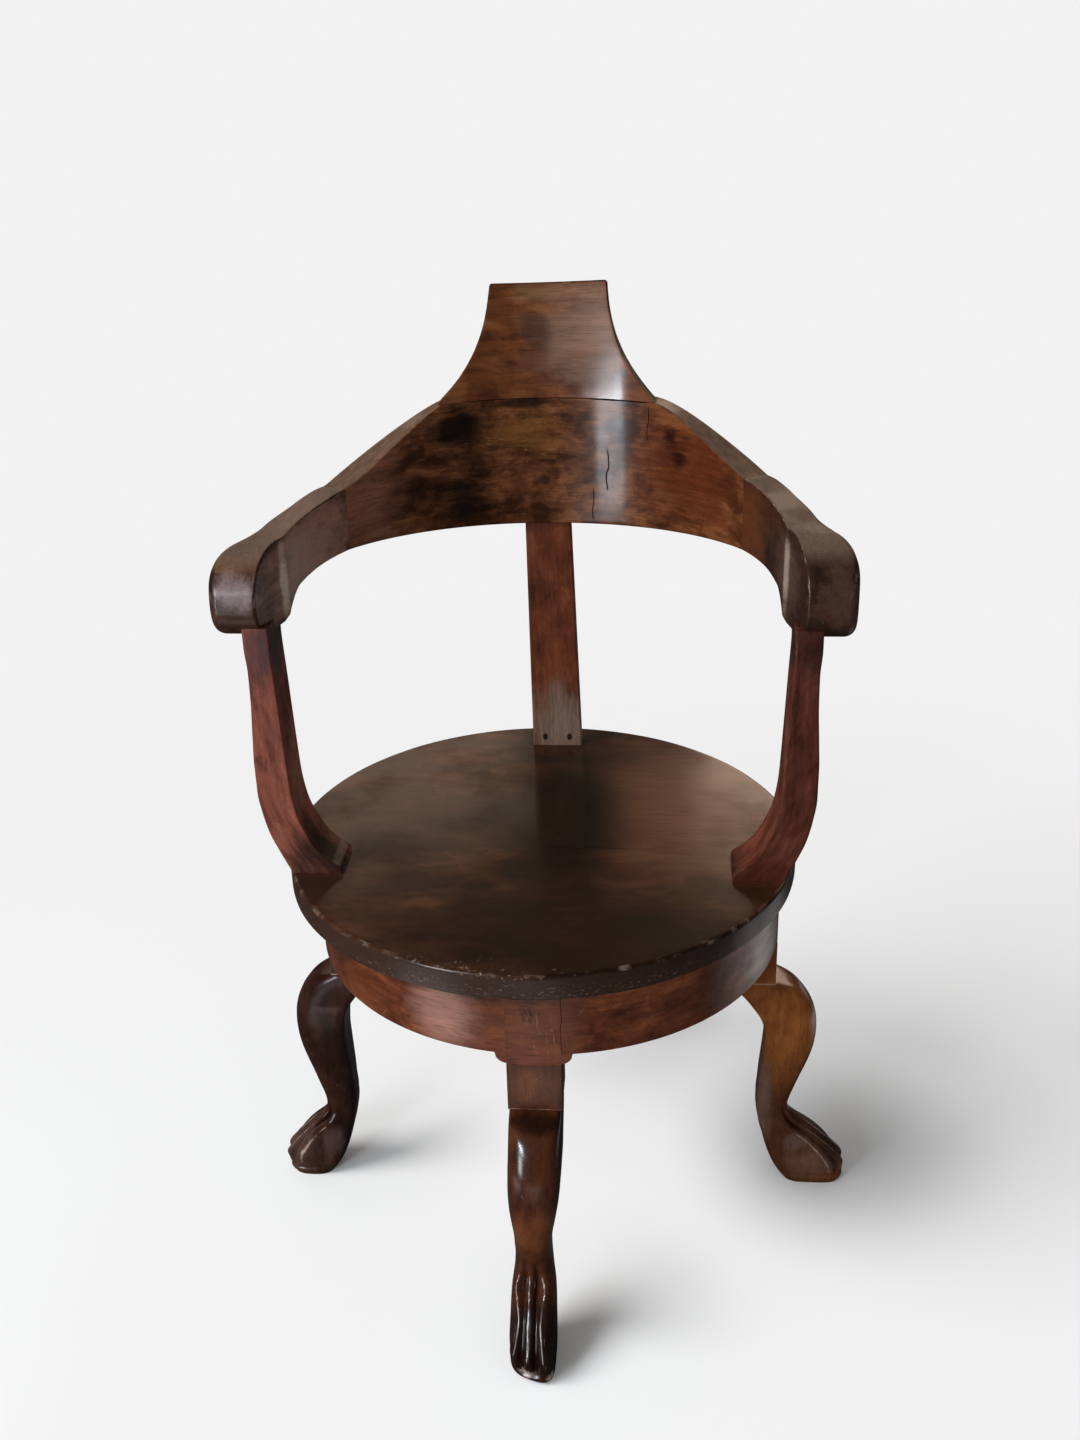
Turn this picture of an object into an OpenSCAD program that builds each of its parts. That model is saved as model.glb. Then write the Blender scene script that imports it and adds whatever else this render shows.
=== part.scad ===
// Revolving barber's chair in turned, bent and carved wood.
// A round seat board swivels on an iron spindle above a ring apron that
// stands on cabriole legs with paw feet. Units are millimetres, +Z is up,
// the floor is z = 0, the pivot is the Z axis and the chair faces -Y.

/* [Seat board] */
// Diameter of the round seat board
seat_diameter = 520; // [500:5:540]
// Thickness of the seat board
seat_thickness = 26; // [23:1:29]
// Height of the seat's top above the floor
seat_height = 437; // [430:1:445]
// Distance from the pivot to the middle of the seat board, towards -X
seat_shift = 7; // [0:1:10]
// Radius of the softened arris round the seat board
seat_arris = 3; // [1:0.5:4]

/* [Apron ring] */
// Outside diameter of the apron ring
apron_diameter = 480; // [470:2:490]
// Height of the apron ring
apron_height = 75; // [70:1:80]
// Thickness of the bent apron wall
apron_wall = 24; // [20:1:28]
// Depth of the rounded shoulders beside each leg
shoulder_drop = 11; // [7:1:12]

/* [Legs] */
// Side of the square timber each leg is carved from
leg_stock = 51; // [48:1:54]
// Distance the square part of the leg stands behind the apron's face
stile_setback = 1; // [0:0.5:3]
// Depth of the grooves between the toes
toe_groove = 3.5; // [1:0.5:5]
// Difference in length between the two sides of the front paw
front_toe_cast = 15; // [0:1:18]
// Length added to the near side of the right paw
right_toe_cast = 12; // [0:1:18]
// Length taken off the far side of the left paw
left_toe_cast = 5; // [0:1:10]
// Distance the front shin and paw are carved off to the side
front_leg_bend = 5; // [0:0.5:6]
// Distance the left shin and paw are carved forwards
left_leg_bend = 9; // [0:0.5:10]
// Distance the right shin and paw are carved backwards
right_leg_bend = 5; // [0:0.5:10]

/* [Back rail] */
// Distance of the back rail's inner face inside the seat's edge
rail_inset = 32; // [28:1:36]
// Thickness of the back rail
rail_thickness = 29; // [26:1:31]
// Height of the rail's lower edge above the seat, at the middle
rail_rise = 262; // [258:1:268]
// Height of the rail at the middle, where the headrest stands on it
rail_middle_depth = 139; // [132:1:146]
// Height of the rail at each arm joint
rail_end_depth = 65; // [61:1:69]

/* [Headrest] */
// Height of the headrest along its slope
headrest_height = 117; // [105:1:130]
// Width of the headrest at its top
headrest_top_width = 122; // [114:1:130]
// Thickness of the headrest
headrest_thickness = 26; // [22:1:28]
// Angle the headrest leans back
headrest_lean = 11.5; // [8:0.5:14]

/* [Arms] */
// Height of the flat underside of the scrolled arm ends above the seat
arm_rise = 248; // [242:1:252]
// Depth of the scrolled arm ends, top to bottom
scroll_depth = 82; // [80:1:90]
// Extra height of the right arm and of the end of the rail beside it
right_arm_lift = 10; // [6:1:12]
// Distance the arm ends reach in front of the seat's middle
scroll_reach = 96; // [90:1:102]
// Distance the arm ends flare outwards from the rail's inside radius
scroll_flare = 68; // [62:1:74]

/* [Arm supports] */
// Thickness of the board each arm support is sawn from
support_board = 50; // [44:1:54]
// Distance the support's front face stands in front of the seat's middle
support_reach = 90; // [84:1:94]

/* [Back splat] */
// Width of the splat where it stands on the seat
splat_foot_width = 56; // [50:1:62]
// Width of the splat under the rail
splat_top_width = 50; // [44:1:54]
// Thickness of the splat
splat_thickness = 21; // [18:1:23]
// Distance of the splat's foot from the middle of the seat, towards +X
splat_foot_offset = 2; // [0:0.5:4]
// Distance the top of the splat leans off towards -X
splat_sway = 7; // [0:0.5:8]
// Distance of the splat's front face inside the seat's edge, at its foot
splat_inset = 50; // [44:1:54]

/* [Swivel] */
// Diameter of the iron spindle
spindle_diameter = 28; // [24:1:32]
// Radial clearance of the spindle in its bush
running_clearance = 0.08; // [0.05:0.01:0.1]
// Gap between the seat board and the apron ring
seat_gap = 1; // [0.5:0.25:2]
// Height of the cross rails
cross_rail_height = 45; // [40:1:50]
// Width of the cross rails
cross_rail_width = 60; // [56:1:66]

/* [Hidden] */
$fn = 96;
fine = 160;
eps = 0.01;
seat_radius = seat_diameter / 2;
seat_under = seat_height - seat_thickness;
apron_radius = apron_diameter / 2;
apron_inner = apron_radius - apron_wall;
apron_top = seat_under - seat_gap;
apron_bottom = apron_top - apron_height;
post_face = apron_radius - stile_setback;
post_back = post_face - leg_stock;
post_shoulder = apron_bottom - shoulder_drop;

// Carved leg. Each row holds the height, the radii of the inner and outer
// faces, the width, the squareness of the inner and outer halves and the
// share of the toe groove, for a leg from 51 mm timber under a 335 mm apron.
design_stock = 51;
design_drop = 335;
design_face = 239;
leg_rows = [
    [326, 188, 239, 51, 14, 14, 0],
    [272, 188, 239, 51, 14, 14, 0],
    [271, 189, 244, 51, 12, 8, 0],
    [269, 190, 250, 51, 11, 5, 0],
    [265, 194, 258.5, 51, 10, 4.2, 0],
    [259, 199, 265.5, 51, 9, 3.8, 0],
    [250, 207, 272, 51, 9, 3.6, 0],
    [240, 214, 277.5, 51, 8, 3.5, 0],
    [226, 223, 282, 51, 8, 3.4, 0],
    [215, 227, 284, 50.5, 7, 3.3, 0],
    [203, 229.5, 285, 50, 7, 3.2, 0],
    [188, 230, 284, 48.5, 6, 3, 0],
    [172, 229, 281, 45.5, 6, 2.9, 0],
    [156, 227.5, 276.5, 42, 5.5, 2.8, 0],
    [140, 226, 271.5, 38.5, 5, 2.6, 0],
    [124, 225, 266.5, 36.5, 4.5, 2.5, 0],
    [110, 224, 262, 36, 4, 2.5, 0.05],
    [98, 224, 259.5, 37, 3.6, 2.6, 0.3],
    [88, 225, 260, 38.5, 3.3, 2.7, 0.6],
    [80, 226.5, 263, 40.5, 3, 2.8, 0.85],
    [72, 228, 271, 43, 3, 2.9, 1],
    [63, 230.5, 283.5, 45, 3, 3, 1],
    [53, 233, 295.5, 46, 3, 3.1, 1],
    [42, 236, 304.5, 46.5, 3, 3.2, 0.9],
    [30, 240, 311, 47, 3, 3.2, 0.8],
    [18, 245, 314, 47, 3, 3.2, 0.8],
    [8, 251, 314, 46, 3, 3.1, 0.7],
    [0, 257, 309, 43, 3, 3, 0.6]
];
front_steps = 24;
back_steps = 14;
ring_steps = front_steps + back_steps;
leg_scale = leg_stock / design_stock;
drop_scale = apron_bottom / design_drop;
cast_start = 90;
bend_start = 230;
bend_full = 120;

// Swivel fittings
plate_radius = 60;
plate_height = 6;
collar_radius = 30;
cross_top = apron_top - 30;
cross_bottom = cross_top - cross_rail_height;
plate_top = cross_top + plate_height;
bush_wall = 4;
bush_flange = 8;
bush_flange_height = 3;
spindle_radius = spindle_diameter / 2;
bush_inner = spindle_radius + running_clearance;
bush_outer = bush_inner + bush_wall;
washer_height = 4;
washer_radius = spindle_radius + 14;
nut_height = 18;
nut_flats = spindle_diameter * 1.5;
spindle_tail = 5;
tenon_length = 18;
tenon_width = 22;
tenon_height = cross_rail_height - 16;
screw_radius = 2.5;
screw_head = 5;
screw_head_height = 3;
flange_screw_length = 22;
plate_screw_length = 30;
plate_screw_circle = 46;
batten_length = 300;
batten_width = 40;
batten_height = 18;
batten_offset = 88;
batten_screw_length = 34;
batten_screw_spacing = 120;
ring_dowel_radius = 4;
ring_dowel_length = 36;
ring_dowel_height = 22;

// Back rail, arms and headrest
rail_radius = seat_radius - rail_inset;
rail_low = seat_height + rail_rise;
rail_outer = rail_radius + rail_thickness;
rail_mid = rail_radius + rail_thickness / 2;
rail_high = rail_low + rail_middle_depth;
joint_half = 62;
crown_half = 29.5;
foot_half = rail_radius * sin(crown_half);
rail_lift = 9;
rail_end_low = rail_low + rail_lift;
rail_end_high = rail_end_low + rail_end_depth;
inner_shoulder = 1.38;
outer_shoulder = 1.12;
fan_margin = 2;
lower_power = 1.8;
fan_step = 4;
arm_low = seat_height + arm_rise;
arm_high = arm_low + scroll_depth;
scroll_upper = 48;
scroll_lower = 30;
joint_front = rail_radius * cos(joint_half);
joint_back = rail_outer * cos(joint_half);
arm_dowel_radius = 4;
arm_dowel_length = 40;
arm_dowel_edge = 18;
crown_dowel_radius = 4;
crown_dowel_length = 40;
crown_dowel_spread = 70;

// Arm supports
support_back = support_board - support_reach;
support_top = arm_low + scroll_lower;
support_foot = sqrt(pow(seat_radius, 2) - pow(support_reach, 2)) - 1;
support_foot_length = 51;
support_dowel_radius = 4;
support_dowel_length = 40;
support_dowel_in_seat = 14;
support_foot_dowel_x = support_foot - 22;
support_head_dowel_x = rail_radius + 24;

// Back splat
splat_back = seat_radius - splat_inset;
splat_run = rail_mid - splat_thickness / 2 - splat_back;
splat_lean = atan(splat_run / rail_rise);
splat_length = rail_rise / cos(splat_lean);
splat_tenon_height = 24;
splat_tenon_thickness = 9;
splat_tenon_width = 34;
splat_foot_tenon = 12;
peg_radius = 2.6;
peg_length = 34;
peg_angle = 38;
peg_height = 11;
peg_spacing = 28;
peg_proud = 0.6;

walnut = [0.36, 0.19, 0.11];
dark_walnut = [0.22, 0.11, 0.07];
beech = [0.72, 0.55, 0.36];
iron = [0.24, 0.24, 0.25];
brass_colour = [0.72, 0.56, 0.27];

// One point of a leg ring: index i runs round the front half, then the back.
function toe_wave(u) = pow(0.5 + 0.5 * cos(720 * u), 3) * (1 - pow(u, 4));

function half_bulge(u, squareness) = pow(1 - pow(abs(u), squareness), 1 / squareness);

function leg_point(row, i, cast, bend) =
    let (
        front = i <= front_steps,
        turn = front ? -90 + 180 * i / front_steps
                     : 90 + 180 * (i - front_steps) / back_steps,
        u = sin(turn),
        inner = row[1] - design_face,
        outer = row[2] - design_face,
        middle = (inner + outer) / 2,
        reach = (outer - inner) / 2,
        groove = toe_groove * row[6] * toe_wave(u),
        low = pow(max(0, 1 - row[0] / cast_start), 0.6),
        growth = low * (cast[0] + (cast[1] - cast[0]) * (1 + u) / 2),
        sway = bend * min(1, max(0, (bend_start - row[0]) / (bend_start - bend_full))),
        offset = front ? middle + reach * half_bulge(u, row[5]) - groove + growth
                       : middle - reach * half_bulge(u, row[4])
    )
    [post_face + offset * leg_scale, (u * row[3] / 2 + sway) * leg_scale, row[0] * drop_scale];

module carved_leg(cast, bend) {
    levels = len(leg_rows);
    points = [for (row = leg_rows) for (i = [0 : ring_steps - 1]) leg_point(row, i, cast, bend)];
    sides = [
        for (k = [0 : levels - 2]) for (i = [0 : ring_steps - 1])
        let (
            j = (i + 1) % ring_steps,
            a = k * ring_steps + i,
            b = k * ring_steps + j
        )
        each [[a, b, b + ring_steps], [a, b + ring_steps, a + ring_steps]]
    ];
    top = [[for (i = [ring_steps - 1 : -1 : 0]) i]];
    sole = [[for (i = [0 : ring_steps - 1]) (levels - 1) * ring_steps + i]];
    polyhedron(points = points, faces = concat(sides, top, sole), convexity = 6);
}

module apron_tube(low, high) {
    translate([0, 0, low])
        difference() {
            cylinder(r = apron_radius, h = high - low, $fn = fine);
            translate([0, 0, -1])
                cylinder(r = apron_inner, h = high - low + 2, $fn = fine);
        }
}

module leg_head() {
    translate([0, 0, post_shoulder])
        intersection() {
            translate([post_back, -leg_stock / 2, 0])
                cube([leg_stock * 2, leg_stock, apron_top - post_shoulder]);
            cylinder(r = apron_radius, h = apron_top - post_shoulder, $fn = fine);
        }
}

module ring_dowel(side, length) {
    translate([apron_radius - apron_wall / 2, side * leg_stock / 2, 0])
        rotate([90, 0, 0])
            for (level = [ring_dowel_height, apron_height - ring_dowel_height])
                translate([0, apron_bottom + level, -length / 2])
                    cylinder(r = ring_dowel_radius, h = length, $fn = 32);
}

module leg(angle, cast, bend) {
    color(walnut)
        rotate([0, 0, angle])
            difference() {
                union() {
                    carved_leg(cast, bend);
                    leg_head();
                }
                for (side = [-1, 1])
                    ring_dowel(side, ring_dowel_length);
                translate([post_back - 1, -tenon_width / 2, cross_bottom + 8])
                    cube([tenon_length + 1, tenon_width, tenon_height]);
            }
}

module leg_front() leg(-90, [-0.6 * front_toe_cast, 0.4 * front_toe_cast], -front_leg_bend);

module leg_right() leg(0, [right_toe_cast, right_toe_cast / 2], right_leg_bend);

module leg_back() leg(90, [0, 0], 0);

module leg_left() leg(180, [-left_toe_cast, -left_toe_cast / 2], left_leg_bend);

// A quarter of the apron ring between two leg heads. Its ends step down
// in quarter-round shoulders beside the legs.
module shoulder_rounds() {
    translate([0, leg_stock / 2, apron_bottom])
        rotate([0, 90, 0])
            cylinder(r = shoulder_drop, h = apron_diameter);
    translate([leg_stock / 2, 0, apron_bottom])
        rotate([-90, 0, 0])
            cylinder(r = shoulder_drop, h = apron_diameter);
}

module apron_quarter(angle) {
    color(walnut)
        rotate([0, 0, angle])
            difference() {
                intersection() {
                    union() {
                        apron_tube(apron_bottom, apron_top);
                        intersection() {
                            apron_tube(post_shoulder, apron_bottom + 1);
                            shoulder_rounds();
                        }
                    }
                    translate([leg_stock / 2, leg_stock / 2, 0])
                        cube([apron_diameter, apron_diameter, seat_height]);
                }
                ring_dowel(1, ring_dowel_length);
                rotate([0, 0, 90])
                    ring_dowel(-1, ring_dowel_length);
            }
}

module apron_front_right() apron_quarter(-90);

module apron_back_right() apron_quarter(0);

module apron_back_left() apron_quarter(90);

module apron_front_left() apron_quarter(180);

module apron_dowels() {
    color(beech)
        for (angle = [0 : 90 : 270])
            rotate([0, 0, angle])
                for (side = [-1, 1])
                    ring_dowel(side, ring_dowel_length);
}

// Cross rails, halved over each other at the pivot and tenoned into the legs.
module cross_bar() {
    translate([-post_back, -cross_rail_width / 2, cross_bottom])
        cube([post_back * 2, cross_rail_width, cross_rail_height]);
    translate([-post_back - tenon_length, -tenon_width / 2, cross_bottom + 8])
        cube([(post_back + tenon_length) * 2, tenon_width, tenon_height]);
}

module pivot_bore(radius) {
    translate([0, 0, cross_bottom - 1])
        cylinder(r = radius, h = cross_rail_height + 2);
}

module round_pattern(radius, count, first) {
    for (i = [0 : count - 1])
        rotate([0, 0, first + i * 360 / count])
            translate([radius, 0, 0])
                children();
}

module screw_down(length) {
    translate([0, 0, -length])
        cylinder(r = screw_radius, h = length, $fn = 24);
    translate([0, 0, -screw_head_height])
        cylinder(r1 = screw_radius, r2 = screw_head, h = screw_head_height, $fn = 24);
}

module screw_up(length) {
    mirror([0, 0, 1])
        screw_down(length);
}

module plate_screw_places() {
    translate([0, 0, plate_top])
        round_pattern(plate_screw_circle, 4, 0)
            children();
}

module halved_rail(keep_top) {
    half = cross_bottom + cross_rail_height / 2;
    color(beech)
        difference() {
            cross_bar();
            translate([-cross_rail_width / 2, -cross_rail_width, keep_top ? cross_bottom - 1 : half])
                cube([cross_rail_width, cross_rail_width * 2, cross_rail_height / 2 + 1]);
            pivot_bore(bush_outer);
            plate_screw_places()
                screw_down(plate_screw_length);
        }
}

module cross_rail_side() halved_rail(true);

module cross_rail_front() {
    rotate([0, 0, 90])
        halved_rail(false);
}

module pivot_plate() {
    color(iron)
        difference() {
            translate([0, 0, cross_top])
                cylinder(r = plate_radius, h = plate_height);
            pivot_bore(bush_outer);
            translate([0, 0, cross_top])
                cylinder(r = bush_outer, h = plate_height * 2);
            plate_screw_places()
                screw_down(plate_screw_length);
        }
}

module plate_screws() {
    color(iron)
        plate_screw_places()
            screw_down(plate_screw_length);
}

module pivot_bush() {
    low = cross_bottom - bush_flange_height;
    color(brass_colour)
        difference() {
            union() {
                translate([0, 0, low])
                    cylinder(r = bush_outer, h = plate_top - low);
                translate([0, 0, low])
                    cylinder(r = bush_outer + bush_flange, h = bush_flange_height);
            }
            translate([0, 0, low - 1])
                cylinder(r = bush_inner, h = plate_top - low + 2);
        }
}

// Everything that stands on the seat board shares the seat's own middle.
module seat_place() {
    translate([-seat_shift, 0, 0])
        children();
}

module flange_screw_places() {
    translate([0, 0, seat_under - plate_height])
        round_pattern(plate_screw_circle, 4, 45)
            children();
}

module batten_screw_places() {
    for (side = [-1, 1])
        for (step = [-1 : 1])
            translate([side * batten_offset, step * batten_screw_spacing, seat_under - batten_height])
                children();
}

module seat_blank() {
    translate([0, 0, seat_under])
        rotate_extrude($fn = fine)
            polygon([
                [0, 0],
                [seat_radius - seat_arris, 0],
                [seat_radius - seat_arris * 0.3, seat_arris * 0.3],
                [seat_radius, seat_arris],
                [seat_radius, seat_thickness - seat_arris],
                [seat_radius - seat_arris * 0.3, seat_thickness - seat_arris * 0.3],
                [seat_radius - seat_arris, seat_thickness],
                [0, seat_thickness]
            ]);
}

module seat_board() {
    color(dark_walnut)
        difference() {
            seat_place()
                seat_blank();
            flange_screw_places()
                screw_up(flange_screw_length);
            batten_screw_places()
                screw_up(batten_screw_length);
            seat_place() {
                splat_seat_tenon();
                splat_peg_pair();
                for (side = [0, 1])
                    mirror([side, 0, 0])
                        support_foot_dowels();
            }
        }
}

module seat_battens() {
    color(beech)
        difference() {
            for (side = [-1, 1])
                translate([
                    side * batten_offset - batten_width / 2,
                    -batten_length / 2,
                    seat_under - batten_height
                ])
                    cube([batten_width, batten_length, batten_height]);
            batten_screw_places()
                screw_up(batten_screw_length);
        }
}

module batten_screws() {
    color(iron)
        batten_screw_places()
            screw_up(batten_screw_length);
}

// The spindle is turned in one with its flange and its thrust collar, and
// the collar bears on the pivot plate.
module spindle() {
    tail = cross_bottom - bush_flange_height - washer_height - nut_height - spindle_tail;
    color(iron)
        difference() {
            union() {
                translate([0, 0, tail])
                    cylinder(r = spindle_radius, h = seat_under - tail);
                translate([0, 0, plate_top])
                    cylinder(r = collar_radius, h = seat_under - plate_top);
                translate([0, 0, seat_under - plate_height])
                    cylinder(r = plate_radius, h = plate_height);
            }
            flange_screw_places()
                screw_up(flange_screw_length);
        }
}

module flange_screws() {
    color(iron)
        flange_screw_places()
            screw_up(flange_screw_length);
}

module spindle_washer() {
    color(iron)
        translate([0, 0, cross_bottom - bush_flange_height - washer_height])
            difference() {
                cylinder(r = washer_radius, h = washer_height);
                translate([0, 0, -1])
                    cylinder(r = spindle_radius, h = washer_height + 2);
            }
}

module spindle_nut() {
    color(iron)
        translate([0, 0, cross_bottom - bush_flange_height - washer_height - nut_height])
            difference() {
                intersection_for(angle = [0, 60, 120])
                    rotate([0, 0, angle])
                        translate([-nut_flats, -nut_flats / 2, 0])
                            cube([nut_flats * 2, nut_flats, nut_height]);
                translate([0, 0, -1])
                    cylinder(r = spindle_radius, h = nut_height + 2);
            }
}

// The splat leans back from the seat to the middle of the rail.
module splat_seat_tenon() {
    translate([
        splat_foot_offset - splat_tenon_width / 2,
        splat_back + splat_thickness / 4,
        seat_height - splat_foot_tenon
    ])
        cube([splat_tenon_width, splat_thickness / 2, splat_foot_tenon + eps]);
}

module splat_rail_tenon() {
    translate([
        splat_foot_offset - splat_sway - splat_tenon_width / 2,
        rail_mid - splat_tenon_thickness / 2,
        rail_low - splat_tenon_height / 4
    ])
        cube([splat_tenon_width, splat_tenon_thickness, splat_tenon_height * 1.25]);
}

module splat_board() {
    half_foot = splat_foot_width / 2;
    half_top = splat_top_width / 2;
    spare = splat_thickness;
    intersection() {
        translate([splat_foot_offset, splat_back, seat_height])
            rotate([90 - splat_lean, 0, 0])
                translate([0, 0, -splat_thickness])
                    linear_extrude(splat_thickness)
                        polygon([
                            [-half_foot - 1, -spare],
                            [half_foot + 1, -spare],
                            [half_foot, 0],
                            [half_top - splat_sway, splat_length],
                            [half_top - splat_sway, splat_length + spare],
                            [-half_top - splat_sway, splat_length + spare],
                            [-half_top - splat_sway, splat_length],
                            [-half_foot, 0]
                        ]);
        translate([-seat_radius, 0, seat_height])
            cube([seat_diameter, seat_diameter, rail_rise]);
    }
}

module splat_peg() {
    intersection() {
        translate([0, splat_back, seat_height + peg_height])
            rotate([180 + peg_angle, 0, 0])
                translate([0, 0, -peg_length / 2])
                    cylinder(r = peg_radius, h = peg_length * 1.5, $fn = 24);
        translate([-splat_foot_width, splat_back + peg_height * tan(splat_lean) - peg_proud, 0])
            cube([splat_foot_width * 2, splat_foot_width, seat_height * 2]);
    }
}

module splat_peg_pair() {
    for (side = [-1, 1])
        translate([splat_foot_offset + side * peg_spacing / 2, 0, 0])
            splat_peg();
}

module back_splat() {
    color(walnut)
        seat_place()
            difference() {
                union() {
                    splat_board();
                    splat_seat_tenon();
                    splat_rail_tenon();
                }
                splat_peg_pair();
            }
}

module splat_pegs() {
    color(dark_walnut)
        seat_place()
            splat_peg_pair();
}

// Scrolled arm: its plan and its side profile, each cut through the other.
function arc(radius, first, last, count) = [
    for (i = [0 : count])
    let (angle = first + (last - first) * i / count)
    [radius * cos(angle), radius * sin(angle)]
];

flare = scroll_flare - rail_thickness;
joint_angle = 90 - joint_half;
arm_plan = concat(
    arc(rail_outer, joint_angle, 8, 5),
    [
        [rail_outer + flare * 0.06, scroll_reach * 0.125],
        [rail_outer + flare * 0.17, -scroll_reach * 0.083],
        [rail_outer + flare * 0.34, -scroll_reach * 0.271],
        [rail_outer + flare * 0.54, -scroll_reach * 0.4375],
        [rail_outer + flare * 0.75, -scroll_reach * 0.604],
        [rail_outer + flare * 0.91, -scroll_reach * 0.75],
        [rail_outer + flare, -scroll_reach * 0.896],
        [rail_outer + flare, -scroll_reach - 1],
        [rail_radius + flare * 0.564, -scroll_reach - 1],
        [rail_radius + flare * 0.231, -scroll_reach * 0.4375],
        [rail_radius + flare * 0.128, -scroll_reach * 0.354],
        [rail_radius + flare * 0.064, 0]
    ],
    arc(rail_radius, 9, joint_angle, 5)
);

function turn_arc(y, z, radius, first, last, count) = [
    for (point = arc(radius, first, last, count)) [y + point[0], z + point[1]]
];

function arm_profile(lift) = concat(
    [
        [joint_back * 4, rail_end_low],
        [joint_back * 4, rail_end_high + lift],
        [joint_front, rail_end_high + lift],
        [joint_front * 0.56, arm_high + (rail_end_high - arm_high) * 0.35 + lift],
        [joint_front * 0.094, arm_high + lift]
    ],
    turn_arc(scroll_upper - scroll_reach, arm_high + lift - scroll_upper, scroll_upper, 90, 180, 12),
    turn_arc(scroll_lower - scroll_reach, arm_low + scroll_lower, scroll_lower, 180, 270, 9),
    [
        [support_back + 2, arm_low],
        [-scroll_reach * 0.344, arm_low + (rail_end_low - arm_low) * 0.25],
        [-scroll_reach * 0.25, arm_low + (rail_end_low - arm_low) * 0.52],
        [-scroll_reach * 0.125, arm_low + (rail_end_low - arm_low) * 0.78],
        [scroll_reach * 0.042, arm_low + (rail_end_low - arm_low) * 0.95],
        [scroll_reach * 0.229, rail_end_low]
    ]
);

module arm_side_block(lift) {
    rotate([90, 0, 90])
        linear_extrude(seat_diameter)
            polygon(arm_profile(lift));
}

module arm_joint_dowels() {
    rotate([0, 0, joint_angle])
        translate([rail_mid, 0, 0])
            rotate([90, 0, 0])
                for (level = [rail_end_low + arm_dowel_edge, rail_end_high - arm_dowel_edge])
                    translate([0, level, -arm_dowel_length / 2])
                        cylinder(r = arm_dowel_radius, h = arm_dowel_length, $fn = 32);
}

// The arm end seen from the front: its outer corners are rounded off.
module arm_end_block(lift) {
    edge = rail_outer + flare;
    low_round = scroll_depth * 0.16;
    high_round = scroll_depth * 0.1;
    translate([0, seat_radius, 0])
        rotate([90, 0, 0])
            linear_extrude(seat_diameter)
                union() {
                    translate([0, arm_low - 1])
                        square([edge - low_round, seat_height]);
                    translate([0, arm_low + low_round])
                        square([edge, scroll_depth + lift - low_round - high_round]);
                    translate([edge - low_round, arm_low + low_round])
                        circle(r = low_round);
                    translate([edge - high_round, arm_high + lift - high_round])
                        circle(r = high_round);
                }
}

module arm(lift) {
    difference() {
        intersection() {
            arm_end_block(lift);
            translate([0, 0, arm_low - 1])
                linear_extrude(rail_end_high - arm_low + scroll_depth)
                    polygon(arm_plan);
            arm_side_block(lift);
        }
        arm_joint_dowels();
        support_head_dowel();
    }
}

module arm_right() {
    color(walnut)
        seat_place()
            arm(right_arm_lift);
}

module arm_left() {
    color(walnut)
        seat_place()
            mirror([1, 0, 0])
                arm(0);
}

module arm_dowels() {
    color(beech)
        seat_place()
            for (side = [0, 1])
                mirror([side, 0, 0])
                    arm_joint_dowels();
}

// Arm support sawn from a board to a serpentine seen from the front. Each
// point is set from the rail or the foot, at a share of the arm's rise.
function support_point(offset, share) = [rail_radius + offset, seat_height + arm_rise * share];

function foot_point(back, share) = [
    support_foot - support_foot_length * back,
    seat_height + arm_rise * share
];

support_shape = [
    foot_point(1, 0),
    foot_point(0.98, 0.02),
    foot_point(0.784, 0.052),
    foot_point(0.588, 0.093),
    support_point(-4, 0.17),
    support_point(4, 0.258),
    support_point(8, 0.371),
    support_point(9.5, 0.492),
    support_point(11, 0.645),
    support_point(12.5, 0.806),
    support_point(14, 1),
    [rail_radius + 14, support_top],
    [rail_radius + 39, support_top],
    support_point(39, 1),
    support_point(37.5, 0.867),
    support_point(38, 0.746),
    support_point(40, 0.605),
    support_point(41.5, 0.476),
    support_point(41.5, 0.363),
    support_point(38.5, 0.266),
    support_point(33.5, 0.177),
    support_point(26.5, 0.105),
    support_point(20, 0.044),
    foot_point(0, 0)
];

module support_foot_dowels() {
    for (level = [0.28, 0.72])
        translate([
            support_foot_dowel_x,
            support_board * level - support_reach,
            seat_height - support_dowel_in_seat
        ])
            cylinder(r = support_dowel_radius, h = support_dowel_length * 0.7, $fn = 32);
}

module support_head_dowel() {
    translate([
        support_head_dowel_x,
        scroll_lower - scroll_reach + support_dowel_radius,
        arm_low - support_dowel_length / 2
    ])
        cylinder(r = support_dowel_radius, h = support_dowel_length, $fn = 32);
}

module arm_support() {
    difference() {
        translate([0, support_back, 0])
            rotate([90, 0, 0])
                linear_extrude(support_board)
                    polygon(support_shape);
        arm_side_block(0);
        support_foot_dowels();
        support_head_dowel();
    }
}

module support_right() {
    color(walnut)
        seat_place()
            arm_support();
}

module support_left() {
    color(walnut)
        seat_place()
            mirror([1, 0, 0])
                arm_support();
}

module support_dowels() {
    color(beech)
        seat_place()
            for (side = [0, 1])
                mirror([side, 0, 0]) {
                    support_foot_dowels();
                    support_head_dowel();
                }
}

// Heights of the rail's edges at an angle away from its middle. The top stays
// level under the headrest and falls from there on, at every radius.
function crown_end(radius) = asin(foot_half / radius);

function end_top(b) = rail_end_high + (b < 0 ? right_arm_lift : 0);

function rail_top_at(b, radius, power) =
    let (crown = crown_end(radius))
    abs(b) <= crown ? rail_high :
    end_top(b) + (rail_high - end_top(b)) * pow((joint_half - abs(b)) / (joint_half - crown), power);

function rail_low_at(b) = rail_low + rail_lift * pow(abs(b) / joint_half, lower_power);

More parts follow.
